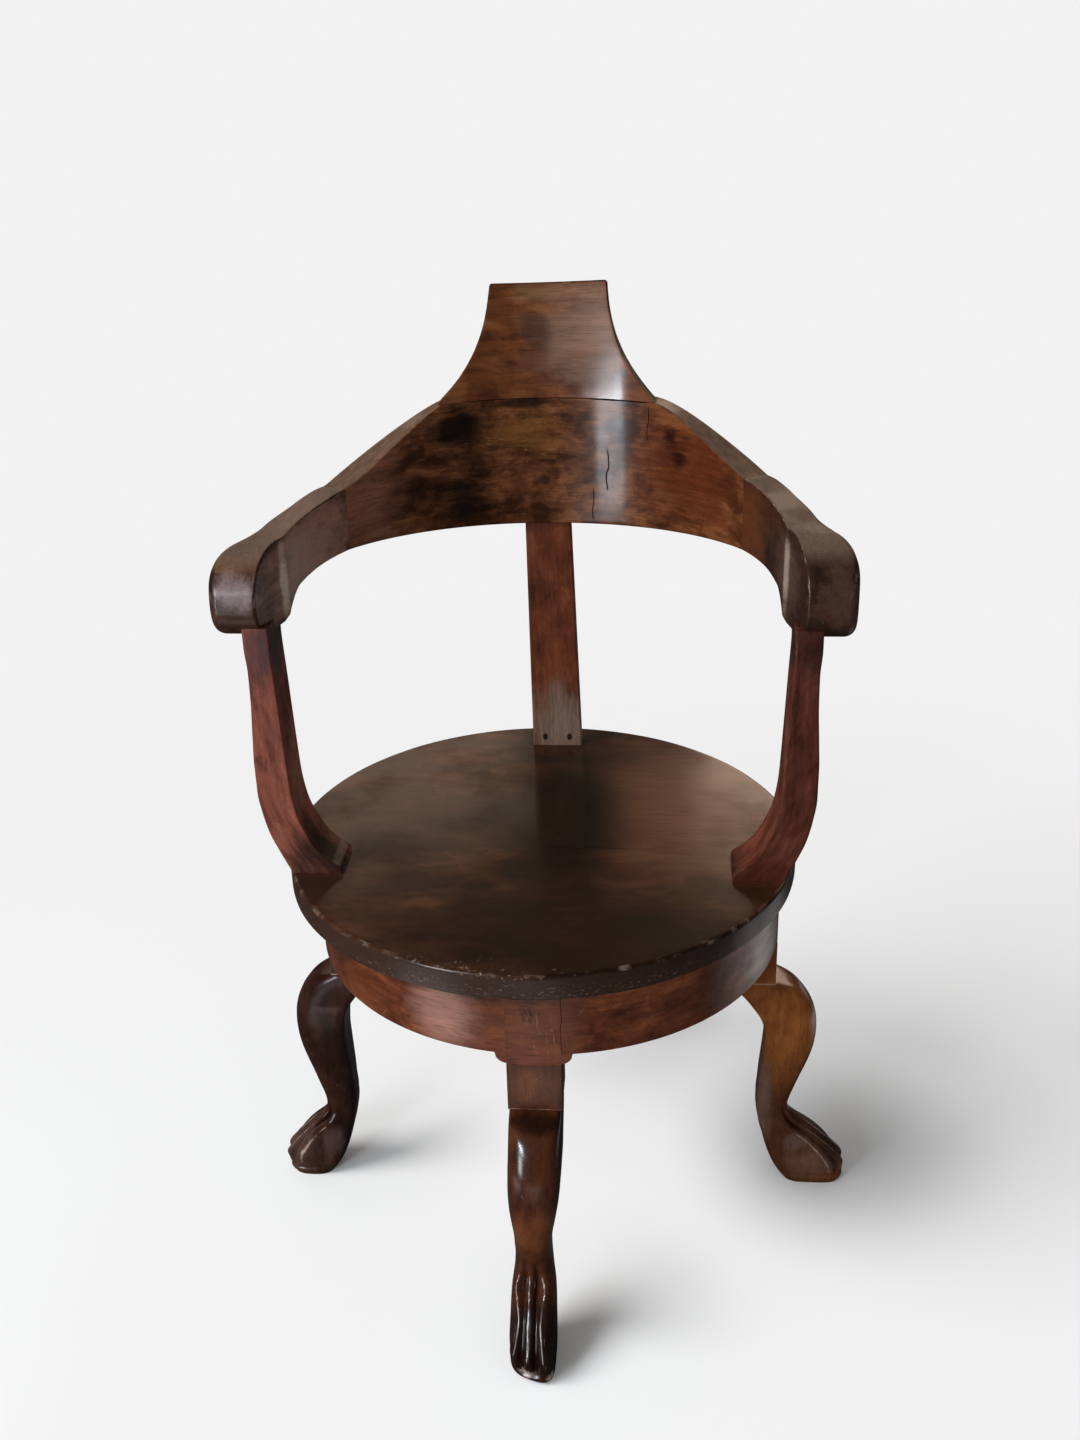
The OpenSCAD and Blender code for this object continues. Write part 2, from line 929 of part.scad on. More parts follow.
// A wedge of the back between two angles, with sloping top and bottom. Its
// top is split along the sides of the headrest, so that it stays level there.
module rail_fan() {
    inner = rail_radius - fan_margin;
    outer = rail_outer + fan_margin;
    first = crown_end(inner);
    last = crown_end(outer);
    side = concat(
        [for (b = [-joint_half : fan_step : -first - 1]) b],
        [-first, -last, -last * 0.67, -last * 0.33]
    );
    count = len(side);
    angles = concat(side, [0], [for (i = [count - 1 : -1 : 0]) -side[i]]);
    points = [
        for (b = angles)
            for (corner = [
                [inner, rail_low_at(b)],
                [outer, rail_low_at(b)],
                [outer, rail_top_at(b, outer, outer_shoulder)],
                [inner, rail_top_at(b, inner, inner_shoulder)]
            ])
                [-corner[0] * sin(b), corner[0] * cos(b), corner[1]]
    ];
    walls = [
        for (k = [0 : 2 * count - 1]) for (i = [0 : 3])
        let (
            j = (i + 1) % 4,
            a = k * 4 + i,
            b = k * 4 + j
        )
        each k < count
            ? [[a, a + 4, b], [a + 4, b + 4, b]]
            : [[a, a + 4, b + 4], [a, b + 4, b]]
    ];
    end = 2 * count * 4;
    ends = [[0, 1, 2, 3], [end + 3, end + 2, end + 1, end]];
    polyhedron(points = points, faces = concat(walls, ends), convexity = 4);
}

module crown_dowel_set() {
    for (step = [-1 : 1])
        translate([
            step * crown_dowel_spread,
            sqrt(pow(rail_mid, 2) - pow(step * crown_dowel_spread, 2)),
            rail_high - crown_dowel_length / 2
        ])
            cylinder(r = crown_dowel_radius, h = crown_dowel_length, $fn = 32);
}

module back_rail() {
    color(walnut)
        seat_place()
            difference() {
                intersection() {
                    translate([0, 0, rail_low - 1])
                        difference() {
                            cylinder(r = rail_outer, h = rail_middle_depth + 2, $fn = fine);
                            translate([0, 0, -1])
                                cylinder(r = rail_radius, h = rail_middle_depth + 4, $fn = fine);
                        }
                    rail_fan();
                }
                splat_rail_tenon();
                crown_dowel_set();
                for (side = [0, 1])
                    mirror([side, 0, 0])
                        arm_joint_dowels();
            }
}

// Headrest: a bent board leaning back on the rail, waisted to its top.
top_half = headrest_top_width / 2;
waist = foot_half - top_half;

function headrest_side(share) = top_half + waist * pow(1 - share, 2.5) + 8 * (1 - share) * share;

headrest_outline = concat(
    [for (i = [0 : 12]) [headrest_side(i / 12), headrest_height * i / 12]],
    [for (i = [12 : -1 : 0]) [-headrest_side(i / 12), headrest_height * i / 12]]
);

module headrest() {
    spare = headrest_thickness;
    color(walnut)
        seat_place()
            difference() {
                intersection() {
                    translate([0, rail_radius, rail_high])
                        rotate([-headrest_lean, 0, 0])
                            translate([0, -rail_radius, 0])
                                intersection() {
                                    translate([0, 0, -spare])
                                        difference() {
                                            cylinder(
                                                r = rail_radius + headrest_thickness,
                                                h = headrest_height + spare,
                                                $fn = fine
                                            );
                                            translate([0, 0, -1])
                                                cylinder(
                                                    r = rail_radius,
                                                    h = headrest_height + spare + 2,
                                                    $fn = fine
                                                );
                                        }
                                    rotate([90, 0, 180])
                                        linear_extrude(seat_diameter)
                                            polygon(concat(
                                                headrest_outline,
                                                [[-foot_half, -spare], [foot_half, -spare]]
                                            ));
                                }
                    translate([-seat_radius, 0, rail_high])
                        cube([seat_diameter, seat_diameter, headrest_height]);
                }
                crown_dowel_set();
            }
}

module crown_dowels() {
    color(beech)
        seat_place()
            crown_dowel_set();
}

leg_front();
leg_right();
leg_back();
leg_left();
apron_front_right();
apron_back_right();
apron_back_left();
apron_front_left();
apron_dowels();
cross_rail_side();
cross_rail_front();
pivot_plate();
plate_screws();
pivot_bush();
seat_board();
seat_battens();
batten_screws();
spindle();
flange_screws();
spindle_washer();
spindle_nut();
back_splat();
splat_pegs();
support_right();
support_left();
support_dowels();
back_rail();
headrest();
crown_dowels();
arm_right();
arm_left();
arm_dowels();
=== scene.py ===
# %% [markdown]
# # A revolving barber's chair in old polished wood
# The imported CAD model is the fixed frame: it says where every piece stands
# and how big it is. This lesson covers each visible piece of wood with a
# smooth skin that has the softened arrises, carving and wear of the real
# one, gives each skin a finish made of nodes, and lights the chair on a
# pale floor. We load the frame first, because every later size is read
# from it or worked out beside it.

import bpy
import numpy as np
from mathutils import Matrix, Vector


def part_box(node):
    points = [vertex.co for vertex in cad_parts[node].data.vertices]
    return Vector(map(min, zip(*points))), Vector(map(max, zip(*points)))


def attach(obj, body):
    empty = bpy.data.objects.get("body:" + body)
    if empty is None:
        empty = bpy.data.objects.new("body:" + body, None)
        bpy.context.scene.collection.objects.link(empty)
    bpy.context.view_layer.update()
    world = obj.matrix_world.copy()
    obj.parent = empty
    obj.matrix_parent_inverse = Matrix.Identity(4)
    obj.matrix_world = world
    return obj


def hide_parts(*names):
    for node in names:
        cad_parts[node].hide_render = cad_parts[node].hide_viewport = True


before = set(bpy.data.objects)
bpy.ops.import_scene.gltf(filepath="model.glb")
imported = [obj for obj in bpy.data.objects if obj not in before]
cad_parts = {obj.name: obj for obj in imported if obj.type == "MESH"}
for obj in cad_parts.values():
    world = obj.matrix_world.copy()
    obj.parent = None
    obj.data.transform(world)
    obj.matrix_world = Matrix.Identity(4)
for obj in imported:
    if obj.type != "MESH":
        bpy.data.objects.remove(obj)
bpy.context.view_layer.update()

# %% [markdown]
# ## Sizes
# A chair maker thinks in millimetres, so the shapes below are worked out in
# millimetres and scaled once, when they go into a mesh. The main sizes come
# from the boxes of the CAD nodes. The few that a box does not show, such as
# the radius of the bent rail, are named here once.

# %% Read the main sizes from the frame
MM = 0.001


def node_box(node):
    """Lowest and highest corner of a CAD node at rest, in millimetres."""
    low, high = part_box(node)
    return np.array(low) / MM, np.array(high) / MM


seat_low, seat_high = node_box("seat_board")
seat_radius = (seat_high[0] - seat_low[0]) / 2
seat_x = (seat_high[0] + seat_low[0]) / 2
seat_top, seat_under = seat_high[2], seat_low[2]

apron_low, apron_high = node_box("apron_front_right")
apron_radius = apron_high[0]
apron_top, shoulder_bottom = apron_high[2], apron_low[2]
apron_wall, shoulder_drop = 24.0, 11.0
leg_stock = 51.0

rail_radius, rail_thickness = 228.0, 29.0
rail_outer = rail_radius + rail_thickness
rail_low, rail_high = node_box("back_rail")[0][2], node_box("back_rail")[1][2]
rail_end_low, rail_end_high = rail_low + 9.0, rail_low + 74.0
joint_half, crown_half = 62.0, 29.5

arm_low = node_box("arm_right")[0][2]
arm_high = arm_low + 82.0
right_lift = 10.0
scroll_reach, scroll_flare = 96.0, 68.0
print("seat radius", round(seat_radius, 1), "top", round(seat_top, 1), "rail", round(rail_low, 1))

# %% [markdown]
# ## A smooth line through a table of sizes
# The maker of the legs worked from a few measured stations and faired the
# wood by eye between them. A cubic whose slope at each station is the
# harmonic mean of the slopes beside it does the same: it passes through
# every station and never bulges past two that are level.

# %% Fair a curve through stations
def fair(x, stations, values):
    """Cubic Hermite curve through the stations.

    The slope at an inner station is the harmonic mean of the slopes of the
    two spans beside it, or nought where they differ in sign. At the ends it
    is the slope of the last span.
    """
    stations, values = np.asarray(stations, float), np.asarray(values, float)
    span = np.diff(stations)
    slope = np.diff(values) / span
    before, after = slope[:-1], slope[1:]
    same = before * after > 0
    mean = np.where(same, 2 * before * after / np.where(same, before + after, 1), 0)
    ends = np.concatenate([slope[:1], mean, slope[-1:]])
    x = np.clip(x, stations[0], stations[-1])
    k = np.clip(np.searchsorted(stations, x, side="right") - 1, 0, len(span) - 1)
    t = (x - stations[k]) / span[k]
    line = values[k] * (1 + 2 * t) * (1 - t) ** 2 + values[k + 1] * t**2 * (3 - 2 * t)
    return line + span[k] * (ends[k] * t * (1 - t) ** 2 - ends[k + 1] * t**2 * (1 - t))


def smooth_step(low, high, x):
    """Rises from 0 at low to 1 at high along 3t^2 - 2t^3."""
    t = np.clip((x - low) / (high - low), 0, 1)
    return t * t * (3 - 2 * t)


def bell(x, middle, width):
    """exp(-((x - middle) / width)^2)"""
    return np.exp(-(((x - middle) / width) ** 2))


def joined(*parts):
    """The parts as the last axis of one array, each spread to the shape of all."""
    return np.stack(np.broadcast_arrays(*parts), -1)


def run_along(path):
    """Length along a path of points, from its start, as a column."""
    step = np.linalg.norm(np.diff(path, axis=0), axis=1)
    return np.concatenate([[0], np.cumsum(step)])[:, None]


print("fairing test:", fair(np.array([0.5, 1.5]), [0, 1, 2], [0, 1, 1]).round(3))

# %% [markdown]
# ## Sections with softened arrises
# Nearly every piece of this chair is a bar: a rail, an arm, a board. Sharp
# corners would look new and plastic, because a century of hands rounds
# every arris. So each bar is a section carried along a path, and the
# section is a rectangle whose four corners are quarter circles. Beside each
# quarter circle runs a narrow margin, so that the flat faces stay flat under
# smooth shading. Each point also keeps how near it is to an arris, for the
# wear in the finish, and how far it lies along the grain.

# %% Rounded section ring
ARRIS_MARGIN = 2.5
CORNER_SIGNS = ((1, 1), (-1, 1), (-1, -1), (1, -1))


def eased_ring(half_u, half_v, radii, across=4, upright=4, corner_steps=6):
    """Points round a rectangle with rounded corners, one ring per station.

    half_u and half_v are the half sizes at each station, and radii holds one
    radius per corner, anticlockwise from +u +v. A corner point is the centre
    of its quarter circle plus the radius times (cos a, sin a). Returns u, v
    and the nearness to an arris, each of stations by points.
    """
    half_u, half_v = np.asarray(half_u)[:, None], np.asarray(half_v)[:, None]
    limit = 0.92 * np.minimum(half_u, half_v)
    corners = []
    for k, (su, sv) in enumerate(CORNER_SIGNS):
        r = np.minimum(radii[k], limit)
        angle = np.radians(90 * k + np.linspace(0, 90, corner_steps + 1))
        u = su * (half_u - r) + r * np.cos(angle)
        corners.append(joined(u, sv * (half_v - r) + r * np.sin(angle)))
    lift = 1 - np.linspace(-1, 1, corner_steps + 1) ** 2 * 0.55
    lift = np.broadcast_to(lift, corners[0].shape[:2])
    parts, edges = [], []
    for k in range(4):
        start, end = corners[k][:, -1:], corners[(k + 1) % 4][:, :1]
        length = np.linalg.norm(end - start, axis=-1)
        margin = np.minimum(ARRIS_MARGIN / np.maximum(length, 1e-6), 0.3)
        steps = np.linspace(0, 1, (upright if k % 2 else across) + 1)
        share = margin + (1 - 2 * margin) * steps
        parts += [corners[k], start + (end - start) * share[..., None]]
        edges += [lift, np.zeros_like(share)]
    ring = np.hstack(parts)
    return ring[..., 0], ring[..., 1], np.hstack(edges)


print("points round a section:", eased_ring([20.0], [10.0], [2.0] * 4)[0].shape[1])

# %% [markdown]
# ## From a grid of points to a skin
# A grid of points, stations along and points round, becomes a closed mesh:
# quads between neighbours and one face over each end. The signed volume
# shows whether the skin came out inside out, as it does for the mirrored
# pieces, and turns it. The grid also fills the attributes that the finishes
# read: "arris", and "fibre", a position measured along the grain.

# %% Build skins
# Millimetres that the fibre position moves per radian of turn or per side, so
# that pieces of one shape differ in their grain. The headrest's is a plain step.
GRAIN_SHIFT = {"apron": 700, "leg": 900, "head": 377, "headrest": 400, "arm": 300, "support": 500}


def signed_volume(points, quads):
    """Sum of the tetrahedra from the origin to the two triangles of each quad."""
    a, b, c, d = (points[quads[:, k]] for k in range(4))
    halves = (np.einsum("ij,ij->i", a, np.cross(p, q)) for p, q in ((b, c), (c, d)))
    return sum(halves).sum() / 6


def skin(name, grid, arris, fibre, sharp_degrees):
    """Closed mesh over grid[i, j]: i along the piece, j round it, j closed.

    Quads join each point to its neighbours, and one face closes each end.
    The attribute "upward" is the upright part of each point's normal.
    """
    rows, cols = grid.shape[:2]
    points = grid.reshape(-1, 3) * MM
    i, j = np.meshgrid(np.arange(rows - 1), np.arange(cols), indexing="ij")
    a, b = i * cols + j, i * cols + (j + 1) % cols
    quads = np.stack([a, b, b + cols, a + cols], -1).reshape(-1, 4)
    ends = [np.arange(cols)[::-1], (rows - 1) * cols + np.arange(cols)]
    if signed_volume(points - points.mean(0), quads) < 0:
        quads = quads[:, ::-1]
        ends = [end[::-1] for end in ends]
    loops = np.concatenate([quads.ravel(), *ends]).astype(np.int32)
    sizes = np.concatenate([np.full(len(quads), 4), [cols, cols]])
    starts = np.concatenate([[0], np.cumsum(sizes)[:-1]]).astype(np.int32)
    mesh = bpy.data.meshes.new(name)
    mesh.vertices.add(len(points))
    mesh.vertices.foreach_set("co", points.astype(np.float32).ravel())
    mesh.loops.add(len(loops))
    mesh.loops.foreach_set("vertex_index", loops)
    mesh.polygons.add(len(sizes))
    mesh.polygons.foreach_set("loop_start", starts)
    mesh.polygons.foreach_set("use_smooth", np.ones(len(sizes), bool))
    mesh.update(calc_edges=True)
    mesh.validate()
    mesh.set_sharp_from_angle(angle=np.radians(sharp_degrees))
    normals = np.zeros(len(points) * 3, np.float32)
    mesh.vertices.foreach_get("normal", normals)
    for label, kind, field, values in (
        ("arris", "FLOAT", "value", arris),
        ("fibre", "FLOAT_VECTOR", "vector", fibre * MM),
        ("upward", "FLOAT", "value", np.clip(normals[2::3], 0, 1)),
    ):
        data = mesh.attributes.new(label, kind, "POINT").data
        data.foreach_set(field, values.astype(np.float32).ravel())
    made = bpy.data.objects.new(name, mesh)
    bpy.context.scene.collection.objects.link(made)
    return made


def wooden(node, shape, material, body, name=None, sharp_degrees=38):
    """A skin that stands for one CAD node, with its finish and its body.

    shape holds the grid, the nearness to an arris and the fibre position.
    """
    piece = skin(name or node + "_skin", *shape, sharp_degrees)
    piece.data.materials.append(material)
    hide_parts(node)
    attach(piece, body)
    print(f"{piece.name}: {len(piece.data.polygons)} faces")
    return piece


# %% [markdown]
# ## Node groups: effects shared by the finishes
# Old French polish over walnut shows the same few effects on every piece:
# grain, wear along the arrises, dark or bare blotches, fine rubbing marks
# and cracks. Each is built once as a node group that gives out masks, and
# each finish places it with its own values. A wire that can be added and
# multiplied like a number keeps the formulas short to read.

# %% Helpers for node trees
def tone(code):
    """Linear colour of an sRGB code such as "6b3a22".

    Each channel above 0.04045 becomes ((c + 0.055) / 1.055) to the power 2.4.
    """
    c = np.array([int(code[k : k + 2], 16) / 255 for k in (0, 2, 4)])
    return (*np.where(c <= 0.04045, c / 12.92, ((c + 0.055) / 1.055) ** 2.4), 1.0)


def add(tree, kind, inputs=(), **settings):
    """Adds a shader node. An input is a value, or a Wire to link from."""
    made = tree.nodes.new("ShaderNode" + kind)
    for key, value in settings.items():
        setattr(made, key, value)
    for key, value in dict(inputs).items():
        if isinstance(value, Wire):
            tree.links.new(value.socket, made.inputs[key])
        else:
            made.inputs[key].default_value = value
    return made


def wire(tree, kind, inputs=(), output=0, **settings):
    """Adds a shader node and returns one of its outputs."""
    return Wire(tree, add(tree, kind, inputs, **settings).outputs[output])


class Wire:
    """An output of a node, which works like a number in a formula."""

    def __init__(self, tree, socket):
        self.tree, self.socket = tree, socket

    def maths(self, operation, *values):
        """One Math node."""
        return wire(self.tree, "Math", enumerate((self, *values)), operation=operation)

    def __add__(self, other):
        return self.maths("ADD", other)

    def __sub__(self, other):
        return self.maths("SUBTRACT", other)

    def __mul__(self, other):
        return self.maths("MULTIPLY", other)

    def __rsub__(self, other):
        return wire(self.tree, "Math", {0: other, 1: self}, operation="SUBTRACT")

    def vector(self, operation, other=None, key=1, output=0):
        """One Vector Math node."""
        inputs = {0: self} if other is None else {0: self, key: other}
        return wire(self.tree, "VectorMath", inputs, output, operation=operation)

    def part(self, axis):
        """The x, y or z part, by its number."""
        return wire(self.tree, "SeparateXYZ", {0: self}, axis)

    def noise(self, scale, detail=3.0, roughness=0.5, distortion=0.0):
        """The noise value, between 0 and 1 about 0.5."""
        keys = ("Vector", "Scale", "Detail", "Roughness", "Distortion")
        values = (self, scale, detail, roughness, distortion)
        return wire(self.tree, "TexNoise", zip(keys, values))

    def ramp(self, low, high, out_low=0.0, out_high=1.0):
        """Smooth step from low to high, clamped."""
        keys = ("Value", "From Min", "From Max", "To Min", "To Max")
        values = (self, low, high, out_low, out_high)
        return wire(self.tree, "MapRange", zip(keys, values), interpolation_type="SMOOTHSTEP")

    def mix(self, first, second, kind="MIX"):
        """Two colours mixed by this share."""
        inputs = {0: self, 6: first, 7: second}
        return wire(self.tree, "Mix", inputs, 2, data_type="RGBA", blend_type=kind)


def new_group(name, **inputs):
    """An empty node group. Returns its tree and a wire from each input.

    An input whose default is a float is a number, any other is a vector.
    """
    tree = bpy.data.node_groups.new(name, "ShaderNodeTree")
    for label, default in inputs.items():
        kind = "NodeSocketFloat" if isinstance(default, float) else "NodeSocketVector"
        socket = tree.interface.new_socket(name=label, in_out="INPUT", socket_type=kind)
        socket.default_value = default
    start = tree.nodes.new("NodeGroupInput")
    return tree, *(Wire(tree, start.outputs[label]) for label in inputs)


def close_group(tree, **results):
    """Gives the group an output for each result, and links it."""
    for label in results:
        tree.interface.new_socket(name=label, in_out="OUTPUT", socket_type="NodeSocketFloat")
    end = tree.nodes.new("NodeGroupOutput")
    for label, result in results.items():
        tree.links.new(result.socket, end.inputs[label])
    print("group", tree.name, "with", len(tree.nodes), "nodes")


def place(tree, group, **inputs):
    """Places a node group. Returns its outputs by name."""
    made = add(tree, "Group", inputs, node_tree=group)
    return {end.name: Wire(tree, end) for end in made.outputs}


ORIGIN = (0, 0, 0)
print("linear tone of 6b3a22:", [round(float(v), 3) for v in tone("6b3a22")])

# %% [markdown]
# ### Grain
# Walnut has long fine streaks, a broad cloudy figure that polish makes
# deeper, a small mottle and short pores. All four are noise that is drawn
# out along the grain: the fibre position is squeezed along its first axis
# before the noise reads it, so the pattern stretches along the wood.

# %% Grain group
grain_tree, vector, scale = new_group("grain", Vector=ORIGIN, Scale=1.0)
scaled = vector.vector("SCALE", scale, "Scale")
streaks, cloud, mottle, pores = (
    scaled.vector("MULTIPLY", (squeeze, 1, 1)).noise(*settings)
    for squeeze, settings in (
        (0.09, (260, 6, 0.6, 0.15)),
        (0.3, (26, 4, 0.6, 0.6)),
        (0.7, (55, 5, 0.65, 0.4)),
        (0.06, (1100, 2, 0.5)),
    )
)
close_group(grain_tree, Streaks=streaks, Figure=cloud, Mottle=mottle, Pores=pores.ramp(0.58, 0.7))

# %% [markdown]
# ### Wear along the arrises
# Hands and cloths rub the polish off the arrises first, and unevenly. The
# mask is the nearness to an arris, broken up by noise and cut by a
# threshold, so it comes and goes along an edge as real wear does.

# %% Edge wear group
wear_tree, arris, vector, amount = new_group("edge_wear", Arris=0.0, Vector=ORIGIN, Amount=0.5)
near_edge = arris * (vector.noise(60.0, 5.0, 0.65) + amount)
close_group(wear_tree, Worn=near_edge.ramp(0.74, 0.98))

# %% [markdown]
# ### Blotches
# A burnt patch, a bare patch and a knot are uneven ovals; so are the painted highlights, painted
# reflections and painted shade that some finishes lay into the colour. The distance from its
# middle, measured in half sizes, is made ragged with noise and faded out towards 1.

# %% Blotch group
blotch_tree, vector, centre, size, ragged, grained = new_group(
    "blotch", Vector=ORIGIN, Centre=ORIGIN, Size=(1, 1, 1), Ragged=0.6, Grained=ORIGIN
)
oval = vector.vector("SUBTRACT", centre).vector("DIVIDE", size)
away = oval.vector("LENGTH", output="Value")
uneven = (grained.noise(60, 6, 0.68) - 0.5) * ragged * 2.2
close_group(blotch_tree, Mask=(away + uneven).ramp(0.25, 1.0, 1.0, 0.0))

# %% [markdown]
# ### Rubbing marks
# A polished surface that has been wiped for a hundred years has fine pale
# scratches in two directions, small chips, and patches that are duller than
# others. The scratches are noise drawn out very long and cut near its
# peaks; the chips are small dots that survive only in some places.

# %% Rubbing marks group
marks_tree, vector, density = new_group("rubbing_marks", Vector=ORIGIN, Density=0.5)
strokes = []
for angle, squeeze, fineness in ((0.5, 0.04, 420), (-0.9, 0.05, 520)):
    turn = {"Vector": vector, "Angle": angle}
    turned = wire(marks_tree, "VectorRotate", turn, rotation_type="Z_AXIS")
    strokes.append(turned.vector("MULTIPLY", (squeeze, 1, 1)).noise(fineness, 2))
deepest = strokes[0].maths("MAXIMUM", strokes[1])
scratches = (deepest - (0.78 - density * 0.1)).ramp(0.0, 0.04)
chips = vector.noise(330, 2).ramp(0.68, 0.72) * vector.noise(21, 2).ramp(0.5, 0.62)
close_group(marks_tree, Scratches=scratches, Chips=chips, Dull=vector.noise(12, 5, 0.6))

# %% [markdown]
# ### Cracks
# A crack is a thin wandering line. The distance from the line's middle,
# with a wander that depends on the place along it, is faded out at the
# line's half width and at its two ends. It runs along the second part of
# the vector it is given.

# %% Crack group
crack_tree, vector, centre, length, width, wander = new_group(
    "crack", Vector=ORIGIN, Centre=ORIGIN, Length=0.03, Width=0.001, Wander=0.01
)
local = vector.vector("SUBTRACT", centre)
run = wire(crack_tree, "CombineXYZ", {1: local.part(1)})
gap = (local.part(0) + (run.noise(38, 4) - 0.5) * wander).maths("ABSOLUTE")
line = gap.maths("DIVIDE", width).ramp(0.35, 1.0, 1.0, 0.0)
stop = local.part(1).maths("ABSOLUTE").maths("DIVIDE", length).ramp(0.75, 1.0, 1.0, 0.0)
close_group(crack_tree, Mask=line * stop)

# %% [markdown]
# ## The polished wood
# One function builds every polished finish, because they are one finish on
# one chair. It mixes a deep, a middle and a light brown by the grain, lays
# the given blotches and cracks over them, rubs the arrises back to a paler
# brown, and covers all with a clear coat. Some blotches are painted
# highlights, painted reflections and painted shade laid into the colour, and
# faces that look up turn greyer, partly with dust and partly with a painted
# sheen. What differs from piece to piece is a value or a list. The
# Principled shader stays in the material, and its even values sit on its
# own sockets.

# %% Polished wood finish
PORE_BROWN, CRACK_BLACK, STREAK_TINT = tone("120805"), tone("0b0504"), (0.35, 0.3, 0.28, 1)


def new_material(name):
    """A material with its Principled shader and the object's coordinates."""
    made = bpy.data.materials.new(name)
    made.use_nodes = True
    tree = made.node_tree
    return made, tree, tree.nodes["Principled BSDF"], wire(tree, "TexCoord", output="Object")


def finish_shader(tree, shader, height, **inputs):
    """Links colour, roughness and coat to the shader, and height as a bump."""
    for label, value in inputs.items():
        tree.links.new(value.socket, shader.inputs[label.replace("_", " ")])
    bump = wire(tree, "Bump", {"Height": height, "Strength": 0.3, "Distance": 0.0004})
    tree.links.new(bump.socket, shader.inputs["Normal"])


def polished_wood(
    name,
    browns,
    blotches=(),
    bands=(),
    cracks=(),
    scuffs=(),
    dust_and_sheen=("5b5142", 0.0),
    grain_scale=0.8,
    figure_share=0.5,
    contrast=1.4,
    streak_depth=0.3,
    wear=0.2,
    marks=0.3,
    gloss=0.3,
    bare_gloss=0.22,
    coat=0.5,
    coat_gloss=0.16,
):
    """A finish: grain colours, then blotches, bands, cracks, wear and marks.

    browns are the deep, middle, light and worn brown. A blotch is (centre,
    half sizes, colour, strength, raggedness), a band is (axis, start, end,
    colour, strength), a crack is (across axis, along axis, centre, half
    length, half width, wander), and a scuff is (centre, half sizes, stretch,
    colour, share left bare). All are in metres. Some blotches and bands are
    painted highlights, painted reflections and painted shade. Faces that look
    up turn to the given grey-brown: partly dust, partly a painted sheen.
    """
    made, tree, shader, spot = new_material(name)
    deep, middle, light, worn = map(tone, browns.split())
    fibre = wire(tree, "Attribute", output="Vector", attribute_name="fibre")
    arris = wire(tree, "Attribute", output="Fac", attribute_name="arris")
    upward = wire(tree, "Attribute", output="Fac", attribute_name="upward")
    drawn_out = fibre.vector("MULTIPLY", (0.3, 1, 1))
    grain = place(tree, grain_tree, Vector=fibre, Scale=grain_scale)
    rubbed = place(tree, marks_tree, Vector=fibre, Density=marks)
    worn_edge = place(tree, wear_tree, Arris=arris, Vector=spot, Amount=wear)["Worn"]

    def patch(centre, size, ragged, grained):
        """The mask of a blotch."""
        shape = {"Centre": centre, "Size": size, "Ragged": ragged, "Grained": grained}
        return place(tree, blotch_tree, Vector=spot, **shape)["Mask"]

    share = grain["Figure"] * figure_share + grain["Mottle"] * (1 - figure_share)
    share = (share - 0.5) * contrast + 0.5
    colour = share.ramp(0.36, 0.5).mix(deep, middle)
    colour = share.ramp(0.49, 0.66).mix(colour, light)
    for centre, size, code, strength, ragged in blotches:
        colour = (patch(centre, size, ragged, drawn_out) * strength).mix(colour, tone(code))
    for axis, begin, end, code, strength in bands:
        edge = (spot.part(axis) + (spot.noise(60, 4) - 0.5) * 0.004).ramp(begin, end)
        colour = (edge * strength).mix(colour, tone(code))
    # Faces that look up turn towards the given grey-brown: partly dust, partly a painted sheen of
    # the light they would mirror.
    dusty_sheen = upward.ramp(0.55, 0.95) * dust_and_sheen[1]
    colour = dusty_sheen.mix(colour, tone(dust_and_sheen[0]))
    streak = grain["Streaks"].ramp(0.62, 0.38) * streak_depth
    colour = streak.mix(colour, STREAK_TINT, "MULTIPLY")
    colour = (grain["Pores"] * 0.4).mix(colour, PORE_BROWN)
    height = grain["Pores"] * -0.25 + grain["Streaks"] * 0.25 + drawn_out.noise(32, 3) * 3.0
    whole = 1.0
    for across, along, centre, length, width, wander in cracks:
        view = wire(tree, "CombineXYZ", {0: spot.part(across), 1: spot.part(along)})
        shape = {"Length": length, "Width": width, "Wander": wander}
        middle_point = (centre[across], centre[along], 0)
        cut = place(tree, crack_tree, Vector=view, Centre=middle_point, **shape)["Mask"]
        colour = cut.mix(colour, CRACK_BLACK)
        height = height - cut * 3
        whole = (1.0 - cut) * whole
    for mask in (worn_edge * 0.85, rubbed["Scratches"] * 0.3, rubbed["Chips"] * (marks * 0.5)):
        colour = mask.mix(colour, worn)
    for centre, size, drawn, code, bare in scuffs:
        rubs = spot.vector("MULTIPLY", drawn).noise(340, 4, 0.6)
        rubs = rubs.ramp(0.62 - bare * 0.2, 0.7 - bare * 0.2)
        mask = patch(centre, size, 0.9, spot) * rubs
        colour = mask.mix(colour, tone(code))
        whole = (1.0 - mask * 0.5) * whole

    roughness = rubbed["Dull"] * bare_gloss + gloss + worn_edge * 0.18 + dusty_sheen * 0.3
    cover = (1.0 - worn_edge * 0.6) * rubbed["Dull"].ramp(0.42, 0.66, 1.0, 0.5)
    cover = ((cover - dusty_sheen * 0.8) * whole).maths("MAXIMUM", 0) * coat
    roughness = roughness + (1.0 - whole)
    finish_shader(tree, shader, height, Base_Color=colour, Roughness=roughness, Coat_Weight=cover)
    shader.inputs["Coat Roughness"].default_value = coat_gloss
    shader.inputs["Specular IOR Level"].default_value = 0.12
    print("finish", name, "with", len(tree.nodes), "nodes")
    return made


# %% [markdown]
# ## The seat board
# The seat is one round board, 26 mm thick, with its top arris rounded by
# wear. It could be a cylinder with a bevel, but a profile turned about the
# seat's own middle lets the arris be softer above than below and wander
# slightly, as an old hand-cut edge does.

